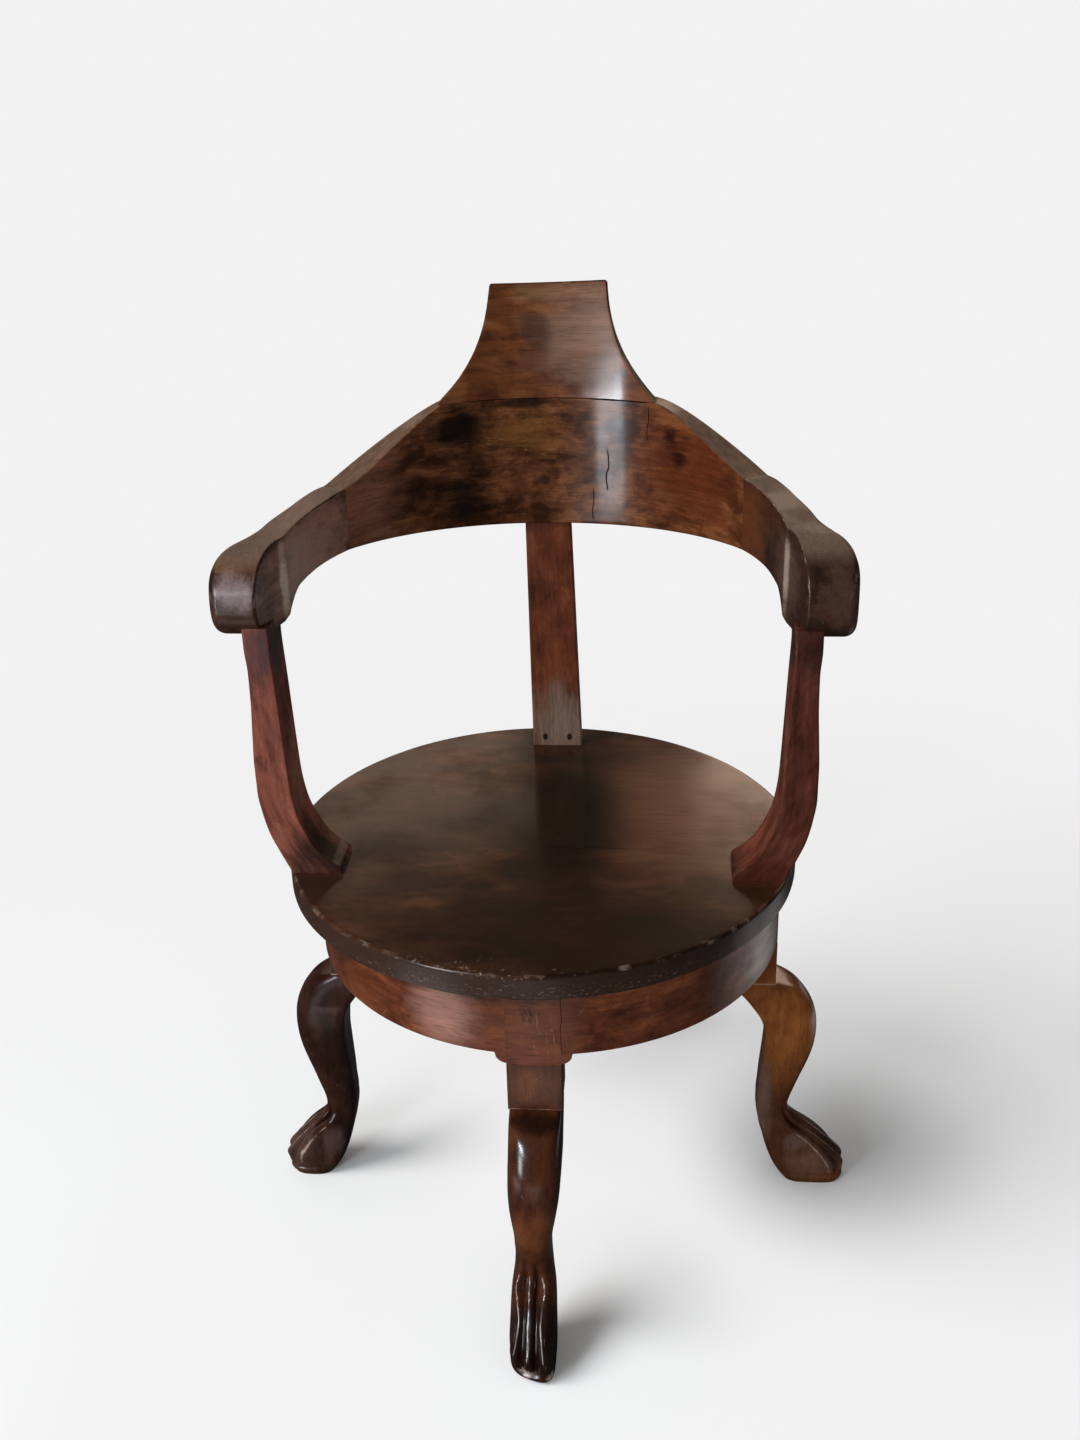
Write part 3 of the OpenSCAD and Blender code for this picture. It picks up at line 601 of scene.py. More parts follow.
# %% Turn the seat board
def turned_board(radius, low, high, top_ease, low_ease, around=360):
    """A profile of (radius, height) turned about an upright axis.

    The top and bottom arrises are quarter circles. The rim wanders by a few
    tenths of a millimetre: the sum of three sines of the angle.
    """
    angle = np.linspace(0, 2 * np.pi, around, endpoint=False)
    quarter = np.radians(np.linspace(0, 90, 9))
    near, far = 1 - np.sin(quarter), 1 - np.cos(quarter)
    flat = [25, radius * 0.5, radius - top_ease - 8, radius - top_ease - 3]
    under = [radius - low_ease - 3, 25]
    rim = [high - top_ease - 2.5, low + low_ease + 2.5]
    r = [flat, radius - top_ease * near, [radius] * 2, radius - low_ease * far, under]
    z = [[high] * 4, high - top_ease * far, rim, low + low_ease * near, [low] * 2]
    r, z = np.concatenate(r)[:, None], np.concatenate(z)[:, None]
    edge = np.repeat([0, 1, 0, 0.8, 0], [4, 9, 2, 9, 2])[:, None]
    wander = 0.25 * np.sin(3 * angle + 1) + 0.18 * np.sin(7 * angle)
    wander = wander + 0.12 * np.sin(17 * angle + 2)
    r = r + np.where(r > radius * 0.9, wander, 0)
    grid = joined(seat_x + r * np.cos(angle), r * np.sin(angle), z)
    return grid, edge + 0 * r, grid


seat_z = seat_top * MM
seat_finish = polished_wood(
    "seat_finish",
    "28150a 3d2110 53321d 78665a",
    blotches=[
        # Painted sheen: paler at the right and back, where the polish mirrors the bright room.
        ((0.14, 0.08, seat_z), (0.13, 0.2, 0.02), "6b4430", 0.8, 0.15),
        # Painted shade: darker at the left, where the polish mirrors less light.
        ((-0.16, -0.03, seat_z), (0.08, 0.1, 0.02), "24130a", 0.45, 0.3),
        # Painted reflection: the dark band of the splat and the rail mirrored in the polish.
        ((0.014, 0.03, seat_z), (0.085, 0.26, 0.02), "0a0402", 0.97, 0.12),
        ((0.04, -0.19, seat_z), (0.22, 0.14, 0.02), "170c07", 0.8, 0.25),
        ((0.21, -0.12, seat_z), (0.06, 0.06, 0.02), "170c07", 0.6, 0.9),
        ((-0.22, -0.11, seat_z), (0.05, 0.05, 0.02), "170c07", 0.6, 0.9),
    ],
    bands=[(2, 0.4352, 0.4325, "35231c", 0.9), (0, -0.07, -0.2, "3a241a", 0.35)],
    cracks=[(1, 0, (0.04, -0.03, 0), 0.05, 0.0004, 0.01)],
    scuffs=[
        ((-0.06, -0.26, 0.4345), (0.14, 0.04, 0.005), (0.6, 0.6, 1), "8d7a70", 0.1),
        ((0.0, -0.2, 0.418), (0.3, 0.3, 0.011), (0.7, 0.7, 1.5), "5e4c46", 0.25),
    ],
    grain_scale=0.45,
    contrast=1.6,
    streak_depth=0.16,
    wear=0.24,
    marks=0.12,
    gloss=0.34,
    coat=0.7,
)
seat_shape = turned_board(seat_radius - 0.5, seat_under, seat_top, 3.2, 1.5)
wooden("seat_board", seat_shape, seat_finish, "seat", name="seat_top_board")

# %% [markdown]
# ## The apron
# The ring under the seat is bent in four quarters between the heads of the
# legs. Each is a bar carried round an arc: its outer face stands flush with
# the leg heads, and its lower edge steps down in a quarter-round shoulder
# beside each leg.

# %% Bend the apron quarters
def apron_grid(turn):
    """A rectangle carried round a quarter of the ring.

    Within the shoulder's radius of a leg head the lower edge drops by the
    root of (radius squared less the distance from the head squared).
    """
    start = np.arcsin((leg_stock / 2 + 0.04) / apron_radius)
    arc = apron_radius * (np.pi / 2 - 2 * start)
    near = shoulder_drop * (1 - np.cos(np.radians(np.linspace(0, 90, 14))))
    between = np.linspace(shoulder_drop + 0.4, arc - shoulder_drop - 0.4, 60)
    run = np.concatenate([near, between, arc - near[::-1]])
    away = np.minimum(run, arc - run)
    drop = np.sqrt(np.clip(shoulder_drop**2 - away**2, 0, None))
    low = shoulder_bottom + shoulder_drop - drop
    half_wall = np.full(len(run), apron_wall / 2)
    u, v, edge = eased_ring(half_wall, (apron_top - low) / 2, [1.2, 0.8, 1.5, 2.2], 2, 6)
    angle = (turn + start + run / apron_radius)[:, None]
    r = apron_radius - apron_wall / 2 + u
    z = (apron_top + low)[:, None] / 2 + v
    grid = joined(r * np.cos(angle), r * np.sin(angle), z)
    return grid, edge, joined(run[:, None] + GRAIN_SHIFT["apron"] * turn, z, r)


apron_finish = polished_wood(
    "apron_finish",
    "472212 643320 84492a a0714e",
    blotches=[
        ((-0.17, -0.17, 0.36), (0.05, 0.05, 0.03), "643318", 0.6, 1.0),
        ((-0.002, -0.24, 0.4), (0.012, 0.03, 0.02), "3a2a20", 0.7, 1.6),
        # Painted sheen: paler at the front left, where the polish mirrors the lit floor.
        ((-0.085, -0.22, 0.37), (0.045, 0.05, 0.045), "a87868", 0.65, 0.4),
        # Painted sheen: the grey gloss at the right end.
        ((0.222, -0.085, 0.362), (0.045, 0.08, 0.06), "bcaea8", 0.85, 0.5),
        ((0.17, -0.17, 0.37), (0.045, 0.045, 0.06), "3c2016", 0.6, 0.7),
        ((0.0, -0.25, 0.35), (0.05, 0.05, 0.1), "6b3c28", 0.6, 0.7),
    ],
    # Painted shade: darker along the top, under the seat's edge.
    bands=[(2, 0.398, 0.409, "241009", 0.75)],
    cracks=[(0, 2, (0.0262, -0.24, 0.37), 0.036, 0.0004, 0.005)],
    scuffs=[
        ((0.012, -0.24, 0.358), (0.026, 0.03, 0.036), (1, 1, 0.1), "8a6543", 0.2),
        ((-0.004, -0.24, 0.385), (0.014, 0.03, 0.02), (1, 1, 0.3), "2b2019", 0.5),
        ((0.0, -0.24, 0.36), (0.3, 0.3, 0.06), (0.6, 0.6, 1.6), "b08a66", -0.35),
    ],
    grain_scale=0.7,
    figure_share=0.45,
    streak_depth=0.35,
    wear=0.25,
    marks=0.6,
    gloss=0.24,
    coat=0.6,
)
for quarter, place_name in enumerate(("front_right", "back_right", "back_left", "front_left")):
    shape = apron_grid(np.radians(90 * (quarter - 1)))
    wooden("apron_" + place_name, shape, apron_finish, "base")

# %% [markdown]
# ## The carved legs
# Each leg is sawn and carved from square timber: a square head let into the
# apron, a knee that springs forward, a curved shin and a paw with three
# toes. A stack of sections carries the whole form. Every section is a
# superellipse, squarer behind and rounder in front, and its sizes come from
# a short table of stations that is faired between them. The toes are a wave
# round the front of the section, with knuckles up their length.

# %% Leg stations
LEG_COLUMNS = ("height", "inner", "outer", "width", "square_in", "square_out", "groove")
LEG_ROWS = [
    [0, 257, 309, 43, 3, 3, 0.6],
    [8, 251, 314, 46, 3, 3.1, 0.7],
    [18, 245, 314, 47, 3, 3.2, 0.8],
    [30, 240, 311, 47, 3, 3.2, 0.8],
    [42, 236, 304.5, 46.5, 3, 3.2, 0.9],
    [53, 233, 295.5, 46, 3, 3.1, 1],
    [63, 230.5, 283.5, 45, 3, 3, 1],
    [72, 228, 271, 43, 3, 2.9, 1],
    [80, 226.5, 263, 40.5, 3, 2.8, 0.85],
    [88, 225, 260, 38.5, 3.3, 2.7, 0.6],
    [98, 224, 259.5, 37, 3.6, 2.6, 0.3],
    [110, 224, 262, 36, 4, 2.5, 0.05],
    [124, 225, 266.5, 36.5, 4.5, 2.5, 0],
    [140, 226, 271.5, 38.5, 5, 2.6, 0],
    [156, 227.5, 276.5, 42, 5.5, 2.8, 0],
    [172, 229, 281, 45.5, 6, 2.9, 0],
    [188, 230, 284.5, 48.5, 6, 2.6, 0],
    [203, 229.5, 285.5, 50, 7, 2.6, 0],
    [215, 227, 285, 50.5, 7, 2.6, 0],
    [226, 223, 283, 51, 8, 2.6, 0],
    [240, 214, 277.5, 51, 8, 2.6, 0],
    [250, 207, 271, 51, 9, 2.7, 0],
    [259, 199, 263, 50.8, 9, 2.9, 0],
    [265, 194, 253.5, 50.2, 10, 3.2, 0],
    [268.6, 190.5, 244, 49.4, 11, 4, 0],
    [270.6, 189, 237.4, 49, 12, 8, 0],
    [271.4, 188.4, 237.6, 49.4, 13, 12, 0],
    [272, 188, 239, 51, 40, 40, 0],
    [326, 188, 239, 51, 200, 200, 0],
]
leg_table = dict(zip(LEG_COLUMNS, np.array(LEG_ROWS, float).T))
knee_top = 272.0
print("leg stations:", len(LEG_ROWS))

# %% [markdown]
# ### From stations to a carved leg
# The table gives the plain form. The carving is taken off it as a share of
# the section, which keeps the grooves clean where the leg is thin, and the
# head is trimmed to lie flush with the round apron.

# %% Carve a leg
def leg_grid(turn, toe_far, toe_near, bend, toe_turn, front_steps=96, back_steps=48):
    """Sections stacked from the sole to the apron's top.

    Round a section the side position is the sine of the angle, and the depth
    is (1 - |sine| to the power n) to the power 1/n, with its own n in front
    and behind. The front loses the toe wave, a cosine raised to a power,
    and gains the knuckles, three bell curves up the toes. The three toes are
    turned a little round the ankle, and the grooves draw the whole section
    in towards its middle.
    """
    foot = shoulder_bottom
    post = [foot - 1.5, foot - 0.3, foot, foot + 1, foot + 3, 350, 380]
    heights = [
        np.linspace(0, 6, 7),
        np.linspace(6, 112, 84),
        np.linspace(112, 262, 76),
        np.linspace(262, knee_top, 34),
        [knee_top + 0.8, knee_top + 2.2, knee_top + 6, 300, *post],
        [apron_top - 3, apron_top - 1, apron_top],
    ]
    z = np.unique(np.concatenate(heights))[:, None]
    at = {name: fair(z, leg_table["height"], leg_table[name]) for name in LEG_COLUMNS}
    front_turn = np.linspace(-90, 90, front_steps, endpoint=False)
    back_turn = np.linspace(90, 270, back_steps, endpoint=False)
    angle = np.radians(np.concatenate([front_turn, back_turn]))
    side = np.sin(angle)
    in_front = np.arange(front_steps + back_steps) <= front_steps
    middle = (at["inner"] + at["outer"]) / 2
    reach = (at["outer"] - at["inner"]) / 2

    past = np.abs((angle - toe_turn + np.pi) % (2 * np.pi) - np.pi) < np.pi / 2
    toe_side = np.where(past, np.sin(angle - toe_turn), 1)
    wave = (0.5 - 0.5 * np.cos(3 * np.pi * toe_side)) ** 1.7 * (1 - toe_side**6)
    crest = (1 - wave) ** 1.5
    groove = 6.5 * at["groove"] * wave * smooth_step(8, 16, z)
    knuckle = 3.4 * bell(z, 76, 7) - 3.0 * bell(z, 53, 10) + 3.8 * bell(z, 28, 7)
    undercut = 2.6 * bell(z, 10.5, 2.2)
    carved = groove - (knuckle * crest - undercut) * (1 - toe_side**8)
    drawn_in = 1 - carved / np.maximum(reach, 12)
    growth = np.clip(1 - z / 90, 0, None) ** 0.6
    growth = growth * (toe_far + (toe_near - toe_far) * (1 + side) / 2)

    def bulge(power):
        """Distance from the section's middle, forwards or back."""
        return reach * (1 - np.abs(side) ** power) ** (1 / power) * drawn_in

    front, back = middle + bulge(at["square_out"]) + growth, middle - bulge(at["square_in"])
    depth = np.where(in_front, front, back)
    across = side * at["width"] / 2 * drawn_in + bend * np.clip((230 - z) / 110, 0, 1)

    head = z > foot - 0.1
    stile_face = apron_radius - 1.0
    face = np.where(head, np.sqrt(apron_radius**2 - across**2), stile_face)
    square = z >= knee_top - 1e-6
    flush = np.minimum(depth + (face - stile_face), face)
    depth = np.where(square & in_front, flush, depth)
    arris = np.where(square & ~head & (np.abs(side) > 0.93), 0.75, 0)
    # The row under the stile's lip counts as a strong arris, so it wears to a pale line: partly a
    # worn arris, partly a painted highlight.
    arris = np.maximum(arris, 1.45 * bell(z, knee_top + 0.6, 0.9) * in_front)
    corner = bell(np.abs(side), 0.955, 0.03) * (~in_front) * smooth_step(95, 130, z)
    arris = np.maximum(arris, 0.75 * corner)
    ridge = sum(bell(toe_side, k, 0.07) for k in (-2 / 3, 0, 2 / 3))
    arris = np.maximum(arris, 1.05 * ridge * smooth_step(84, 66, z) * smooth_step(8, 18, z))
    cosine, sine = np.cos(turn), np.sin(turn)
    grid = joined(depth * cosine - across * sine, depth * sine + across * cosine, z)
    upright = joined(z + GRAIN_SHIFT["leg"] * turn, across, depth)
    level = joined(across + GRAIN_SHIFT["head"] * turn, z, depth)
    return grid, arris, np.where(head[..., None], level, upright)


print("sections of a leg and points round each:", leg_grid(0, 0, 0, 0, 0)[0].shape[:2])


# %% [markdown]
# ### The legs' finishes
# The front leg is brown with nearly black toes, the right one is worn to
# orange, and the left and the back one have kept their dark stain. They
# share the polish and differ in their browns and blotches. Some blotches
# are painted shade: a dark band under the front stile's lip, a dark strip
# down the front leg's right flank and the right knee's dark outside and top.

# %% Polish and place the legs
leg_browns = {
    "front": "3a1c10 4d2817 5f3219",
    "right": "78401d 945426 aa6830",
    "dark": "25120c 321a12 40231a",
    "left": "25120c 341b13 44261c",
}
leg_blotches = {
    "front": [
        ((0.0, -0.28, 0.15), (0.05, 0.1, 0.05), "784324", 0.85, 0.7),
        ((0.0, -0.28, 0.245), (0.05, 0.05, 0.03), "2c1910", 0.5, 0.6),
        ((0.0, -0.29, 0.03), (0.06, 0.08, 0.085), "150a08", 0.92, 0.4),
        ((-0.008, -0.315, 0.012), (0.014, 0.02, 0.005), "b8a298", 0.8, 1.3),
        ((0.016, -0.32, 0.008), (0.008, 0.02, 0.008), "c8b4aa", 0.8, 1.0),
        # Painted shade: a dark band on the knee's top, under the stile's lip.
        ((0.0, -0.26, 0.267), (0.06, 0.05, 0.009), "120805", 0.8, 0.3),
        ((0.0, -0.24, 0.3), (0.03, 0.02, 0.03), "6e4028", 0.6, 1.0),
        # Painted shade: a dark strip down the right flank, away from the light.
        ((0.03, -0.26, 0.2), (0.014, 0.1, 0.2), "160b07", 0.8, 0.3),
    ],
    "right": [
        # Painted shade: the outside and top of the knee darker.
        ((0.31, 0.0, 0.25), (0.045, 0.1, 0.05), "150b08", 0.95, 0.2),
        ((0.26, 0.0, 0.06), (0.14, 0.14, 0.15), "533020", 0.92, 0.3),
        ((0.225, 0.0, 0.11), (0.02, 0.1, 0.09), "8a6e5e", 0.7, 0.6),
        ((0.29, -0.02, 0.03), (0.045, 0.06, 0.03), "7d5a4a", 0.85, 0.8),
        ((0.312, -0.01, 0.05), (0.025, 0.05, 0.04), "2a1712", 0.8, 0.5),
        ((0.27, -0.02, 0.055), (0.025, 0.04, 0.02), "7d6058", 0.7, 1.2),
    ],
    "dark": [],
    "left": [
        ((-0.3, 0.0, 0.03), (0.06, 0.06, 0.06), "54403a", 0.75, 0.8),
        ((-0.255, -0.03, 0.05), (0.02, 0.02, 0.03), "5c4442", 0.5, 0.9),
    ],
}
legs = {
    "leg_front": ("front", 0.2, -90, -9, 6, -5, -6),
    "leg_right": ("right", 0.4, 0, 13, 7, 5, -34),
    "leg_back": ("dark", 0.2, 90, 0, 0, 0, 0),
    "leg_left": ("left", 0.4, 180, -8, -5, 9, 34),
}
for node, (look, wear, degrees, toe_far, toe_near, bend, toe_turn) in legs.items():
    finish = polished_wood(
        look + "_leg_finish",
        leg_browns[look] + " a08470",
        blotches=leg_blotches[look],
        grain_scale=0.9,
        figure_share=0.6,
        streak_depth=0.25,
        wear=wear,
        gloss=0.2,
        bare_gloss=0.14,
        coat=0.95,
        coat_gloss=0.2,
    )
    shape = leg_grid(np.radians(degrees), toe_far, toe_near, bend, np.radians(toe_turn))
    leg = wooden(node, shape, finish, "base", sharp_degrees=50)
    leg.data.materials.append(apron_finish)
    centres = np.zeros(len(leg.data.polygons) * 3)
    leg.data.polygons.foreach_get("center", centres)
    in_apron = centres[2::3] > (shoulder_bottom - 0.2) * MM
    leg.data.polygons.foreach_set("material_index", in_apron.astype(np.int32))

# %% [markdown]
# ## The back rail
# The rail is bent to a half circle round the sitter. Its section is an
# upright rectangle whose height changes with the angle: full under the
# headrest, then falling in two long shoulders to the arm joints.

# %% Bend the back rail
foot_half = rail_radius * np.sin(np.radians(crown_half))


def rail_edge(b, radius, power):
    """Height of the rail's upper edge at b degrees from its middle.

    It is level under the headrest, and falls from there with a power of
    what is left of the way to the joint. The right joint is higher, and a
    fullness times (1 - left) times left to the power 4 rounds the shoulder.
    """
    end = rail_end_high + np.where(b < 0, right_lift, 0)
    crown = np.degrees(np.arcsin(foot_half / radius))
    left = np.clip((joint_half - np.abs(b)) / (joint_half - crown), 0, 1)
    fullness = np.where(b < 0, 45.0, 20.0)
    return end + (rail_high - end) * left**power + fullness * (1 - left) * left**4


def rail_grid():
    """The section carried from one arm joint to the other.

    The lower edge rises with the power 1.8 of the angle. The top slopes
    from the inner to the outer edge, but is level beside the headrest,
    where the distance across is less than the headrest's half foot.
    """
    b = np.linspace(-joint_half, joint_half, 149)
    b = np.unique(np.concatenate([b, [-crown_half, crown_half]]))[:, None]
    low = rail_low + (rail_end_low - rail_low) * (np.abs(b) / joint_half) ** 1.8
    inner, outer = rail_edge(b, rail_radius, 1.38), rail_edge(b, rail_outer, 1.12)
    half_high = (inner - low) / 2
    half_thick = np.full(len(b), rail_thickness / 2)
    u, v, edge = eased_ring(half_thick, half_high[:, 0], [2.5, 1.6, 2.5, 2.5], 3, 10)
    r = rail_radius + rail_thickness / 2 + u
    sine, cosine = np.sin(np.radians(b)), np.cos(np.radians(b))
    level = foot_half / np.maximum(np.abs(sine), 0.01)
    level = np.clip(level, rail_radius, rail_outer - 0.01)
    slope = np.clip((r - level) / (rail_outer - level), 0, 1)
    top = inner + (outer - inner) * slope
    z = low + (v / half_high + 1) / 2 * (top - low)
    under_headrest = (r * np.abs(sine) < foot_half) & (v > 0)
    grid = joined(seat_x - r * sine, r * cosine, z)
    fibre = joined(rail_radius * np.radians(b), z, r)
    return grid, np.where(under_headrest, 0, edge), fibre


def on_rail(across, height):
    """A point of the rail's inner face, in metres, from x and height in millimetres."""
    return ((across + seat_x) * MM, np.sqrt(rail_radius**2 - across**2) * MM, height * MM)


rail_finish = polished_wood(
    "rail_finish",
    "3f2110 5e351e 7d4c2c 6e5646",
    blotches=[
        (on_rail(150, 770), (0.11, 0.1, 0.09), "602d15", 0.8, 0.7),
        (on_rail(-30, 800), (0.06, 0.06, 0.03), "7b5026", 0.75, 1.2),
        (on_rail(-98, 815), (0.03, 0.06, 0.045), "140a06", 0.95, 1.0),
        (on_rail(-95, 735), (0.05, 0.06, 0.03), "160b07", 0.9, 1.0),
        (on_rail(-150, 750), (0.05, 0.09, 0.025), "190d08", 0.5, 1.1),
        (on_rail(-185, 750), (0.05, 0.09, 0.08), "94604a", 0.9, 0.6),
        (on_rail(-25, 833), (0.05, 0.05, 0.007), "1a0d07", 0.8, 1.0),
        (on_rail(84, 806), (0.02, 0.03, 0.025), "2a1a18", 0.7, 1.0),
        (on_rail(128, 803), (0.013, 0.03, 0.012), "120605", 0.97, 1.2),
        (on_rail(137, 783), (0.013, 0.03, 0.014), "120605", 0.97, 1.2),
        (on_rail(132, 792), (0.024, 0.03, 0.03), "3a1409", 0.75, 1.4),
    ],
    cracks=[
        (0, 2, on_rail(62, 761), 0.025, 0.0011, 0.012),
        (0, 2, on_rail(46, 722), 0.02, 0.0008, 0.006),
        (2, 0, on_rail(74, rail_high - 0.8), 0.034, 0.0013, 0.002),
        (2, 0, on_rail(-10, rail_high - 0.6), 0.09, 0.0006, 0.001),
        (0, 2, on_rail(105, 815), 0.02, 0.0006, 0.008),
    ],
    scuffs=[
        (on_rail(-20, 795), (0.08, 0.06, 0.04), (0.3, 0.3, 1.5), "84602f", 0.1),
        (on_rail(60, 770), (0.1, 0.08, 0.09), (0.3, 0.3, 1.5), "7d5a40", -0.2),
    ],
    # Its top turns greyer: partly dust, partly a painted sheen.
    dust_and_sheen=("6a5546", 0.85),
    figure_share=0.4,
    contrast=2.1,
    streak_depth=0.45,
    wear=0.0,
    marks=0.25,
    gloss=0.2,
    bare_gloss=0.2,
    coat=0.75,
    coat_gloss=0.13,
)
wooden("back_rail", rail_grid(), rail_finish, "seat")

# %% [markdown]
# ## The headrest
# The headrest is a bent board that leans back on the middle of the rail,
# wide at its foot and waisted to a narrow top. Its section is curved like
# the rail, so the ring of points is laid on a cylinder and then the whole
# is leaned back about the rail's front edge.

# %% Bend the headrest
headrest_height, headrest_thickness, headrest_top_half = 117.0, 26.0, 61.0
headrest_lean = np.radians(11.5)


def headrest_grid(ease=2.0):
    """A curved, waisted board leaning on the rail.

    The half width at a share t of the height is the top's, plus the waist
    times (1 - t) to the power 2.5, plus 8 t (1 - t). The left half is wider
    by 3.3 times the root of (1 - t), and the right end is higher. A point
    starts where the leaning board meets the rail's level top. At the upper
    end the section shrinks by the ease times (1 - cos a) while the station
    advances by the ease times sin a.
    """
    roll = np.radians(np.linspace(0, 90, 6))
    up = np.linspace(0, headrest_height, 60)
    up = up[up < headrest_height - ease]
    drawn = np.concatenate([0 * up, ease * (1 - np.cos(roll))])
    t = np.concatenate([up, headrest_height - ease * (1 - np.sin(roll))]) / headrest_height
    waist = foot_half - headrest_top_half
    half = headrest_top_half + waist * (1 - t) ** 2.5 + 8 * t * (1 - t)
    half_thick = headrest_thickness / 2
    u, v, edge = eased_ring(half - drawn, half_thick - drawn, [2.5, 2.5, 2.0, 2.0], 24, 3)
    t, drawn, half = t[:, None], drawn[:, None], half[:, None]
    u = np.where(u < 0, u * (1 + 3.3 * np.sqrt(1 - t) / half), u)
    back = np.sqrt((rail_radius + half_thick + v) ** 2 - u**2) - rail_radius
    foot = back * np.tan(headrest_lean)
    h = foot + (headrest_height + 1 + 1.2 * u / headrest_top_half - foot) * t
    y = rail_radius + back * np.cos(headrest_lean) + h * np.sin(headrest_lean)
    z = rail_high - back * np.sin(headrest_lean) + h * np.cos(headrest_lean)
    edge = np.maximum(edge, np.where(drawn > 0, 0.9, 0))
    return joined(seat_x + u, y, z), edge, joined(u + GRAIN_SHIFT["headrest"], h, v)


headrest_finish = polished_wood(
    "headrest_finish",
    "4e2916 68391d 7e4d2c 1c100b",
    blotches=[
        # Painted reflection: a pale sheen of the room over the middle and right.
        ((0.03, 0.25, 0.9), (0.085, 0.06, 0.08), "886c5a", 0.65, 0.6),
        ((-0.02, 0.245, 0.9), (0.02, 0.06, 0.05), "3c1f12", 0.6, 1.0),
        ((-0.01, 0.25, 0.945), (0.05, 0.06, 0.012), "8a6a4a", 0.35, 1.6),
    ],
    grain_scale=0.7,
    contrast=1.7,
    wear=0.45,
    marks=0.2,
    coat=0.8,
    coat_gloss=0.12,
)
wooden("headrest", headrest_grid(), headrest_finish, "seat")

# %% [markdown]
# ## The arms
# From the joint each arm follows the rail's curve, flares outwards and ends
# in a wide scroll that the hand closes over. The plan gives the inner and
# outer face, and the side view gives the top and the underside. A section
# that spans the two, carried forwards, has both shapes at once, and its
# corners round off in plan at the very front as well.

# %% Plan and side view of the arms
flare = scroll_flare - rail_thickness
OUTER_Y = np.array([-100, -86, -72, -58, -42, -26, -8, 12, 36, 75])
FLARE = np.array([1, 1, 0.91, 0.75, 0.54, 0.34, 0.17, 0.06, 0, 0])
# What each arm's outer face stands off the drawn plan, at the stations OUTER_Y.
HAND_MADE = {
    1: np.array([0, 0, 0, 0.4, 0.9, 1.3, 1.4, 1.4, 1.2, 0]),
    -1: np.array([-2, -2, -2, -2, -1.6, -1.2, -0.6, 0, 0, 0]),
}
# Radii of the scroll's end in the side view, above and below.
SCROLL_TOP, SCROLL_UNDER = 48, 30
TOP_Y, TOP_SHARE = [-SCROLL_TOP, -28, 10, 60, 107], np.array([0, 0.08, 0.22, 0.36, 1])
UNDER_Y = [-38, -33, -24, -12, 4, 22]
UNDER_SHARE = np.array([0, 0.25, 0.52, 0.78, 0.95, 1.0])


def circle(radius, x):
    """Height of a circle of that radius over its middle, at x."""
    return np.sqrt(np.clip(radius**2 - x**2, 0, None))


def outer_x(y, side):
    """The arm's outer face in plan: the rail's arc, then the flare."""
    start = np.where(OUTER_Y < 36, rail_outer, circle(rail_outer, OUTER_Y))
    flared = fair(y, OUTER_Y, start + flare * FLARE + HAND_MADE[side])
    return np.where(y > 75, circle(rail_outer, y), flared)


def inner_x(y):
    """The arm's inner face in plan: the rail's arc, a small step, a flat."""
    flat = np.interp(y, [-100, -42, -34, 0, 36], rail_radius + np.array([22.7, 9, 5, 2.5, -2.9]))
    return np.where(y > 36, circle(rail_radius, y), flat)


def arm_top(y, drawn, lift):
    """Upper line of the side view, ending in a quarter circle, drawn in."""
    line = fair(y, TOP_Y, arm_high + (rail_end_high - arm_high) * TOP_SHARE)
    nose = arm_high - SCROLL_TOP + circle(SCROLL_TOP - drawn, -SCROLL_TOP - y)
    return np.where(y < -SCROLL_TOP, nose, line - drawn) + lift


def arm_under(y, drawn):
    """Lower line of the side view: a hollow, level, then the front's round."""
    start = SCROLL_UNDER - scroll_reach
    hollow = arm_low + (rail_end_low - arm_low) * fair(y, UNDER_Y, UNDER_SHARE)
    nose = arm_low + SCROLL_UNDER - circle(SCROLL_UNDER - drawn, start - y)
    return np.where(y < start, nose, np.where(y < UNDER_Y[0], arm_low, hollow) + drawn)


for side in (1, -1):
    print("arm", side, "reaches", outer_x(np.array([-90.0]), side).round(1), "mm to its side")


# %% [markdown]
# ### The arm's section
# The section has no fixed size: at each station it runs between the two
# faces and between the two lines. Its arrises are small at the joint and
# grow towards the scroll, where hands have rounded them.

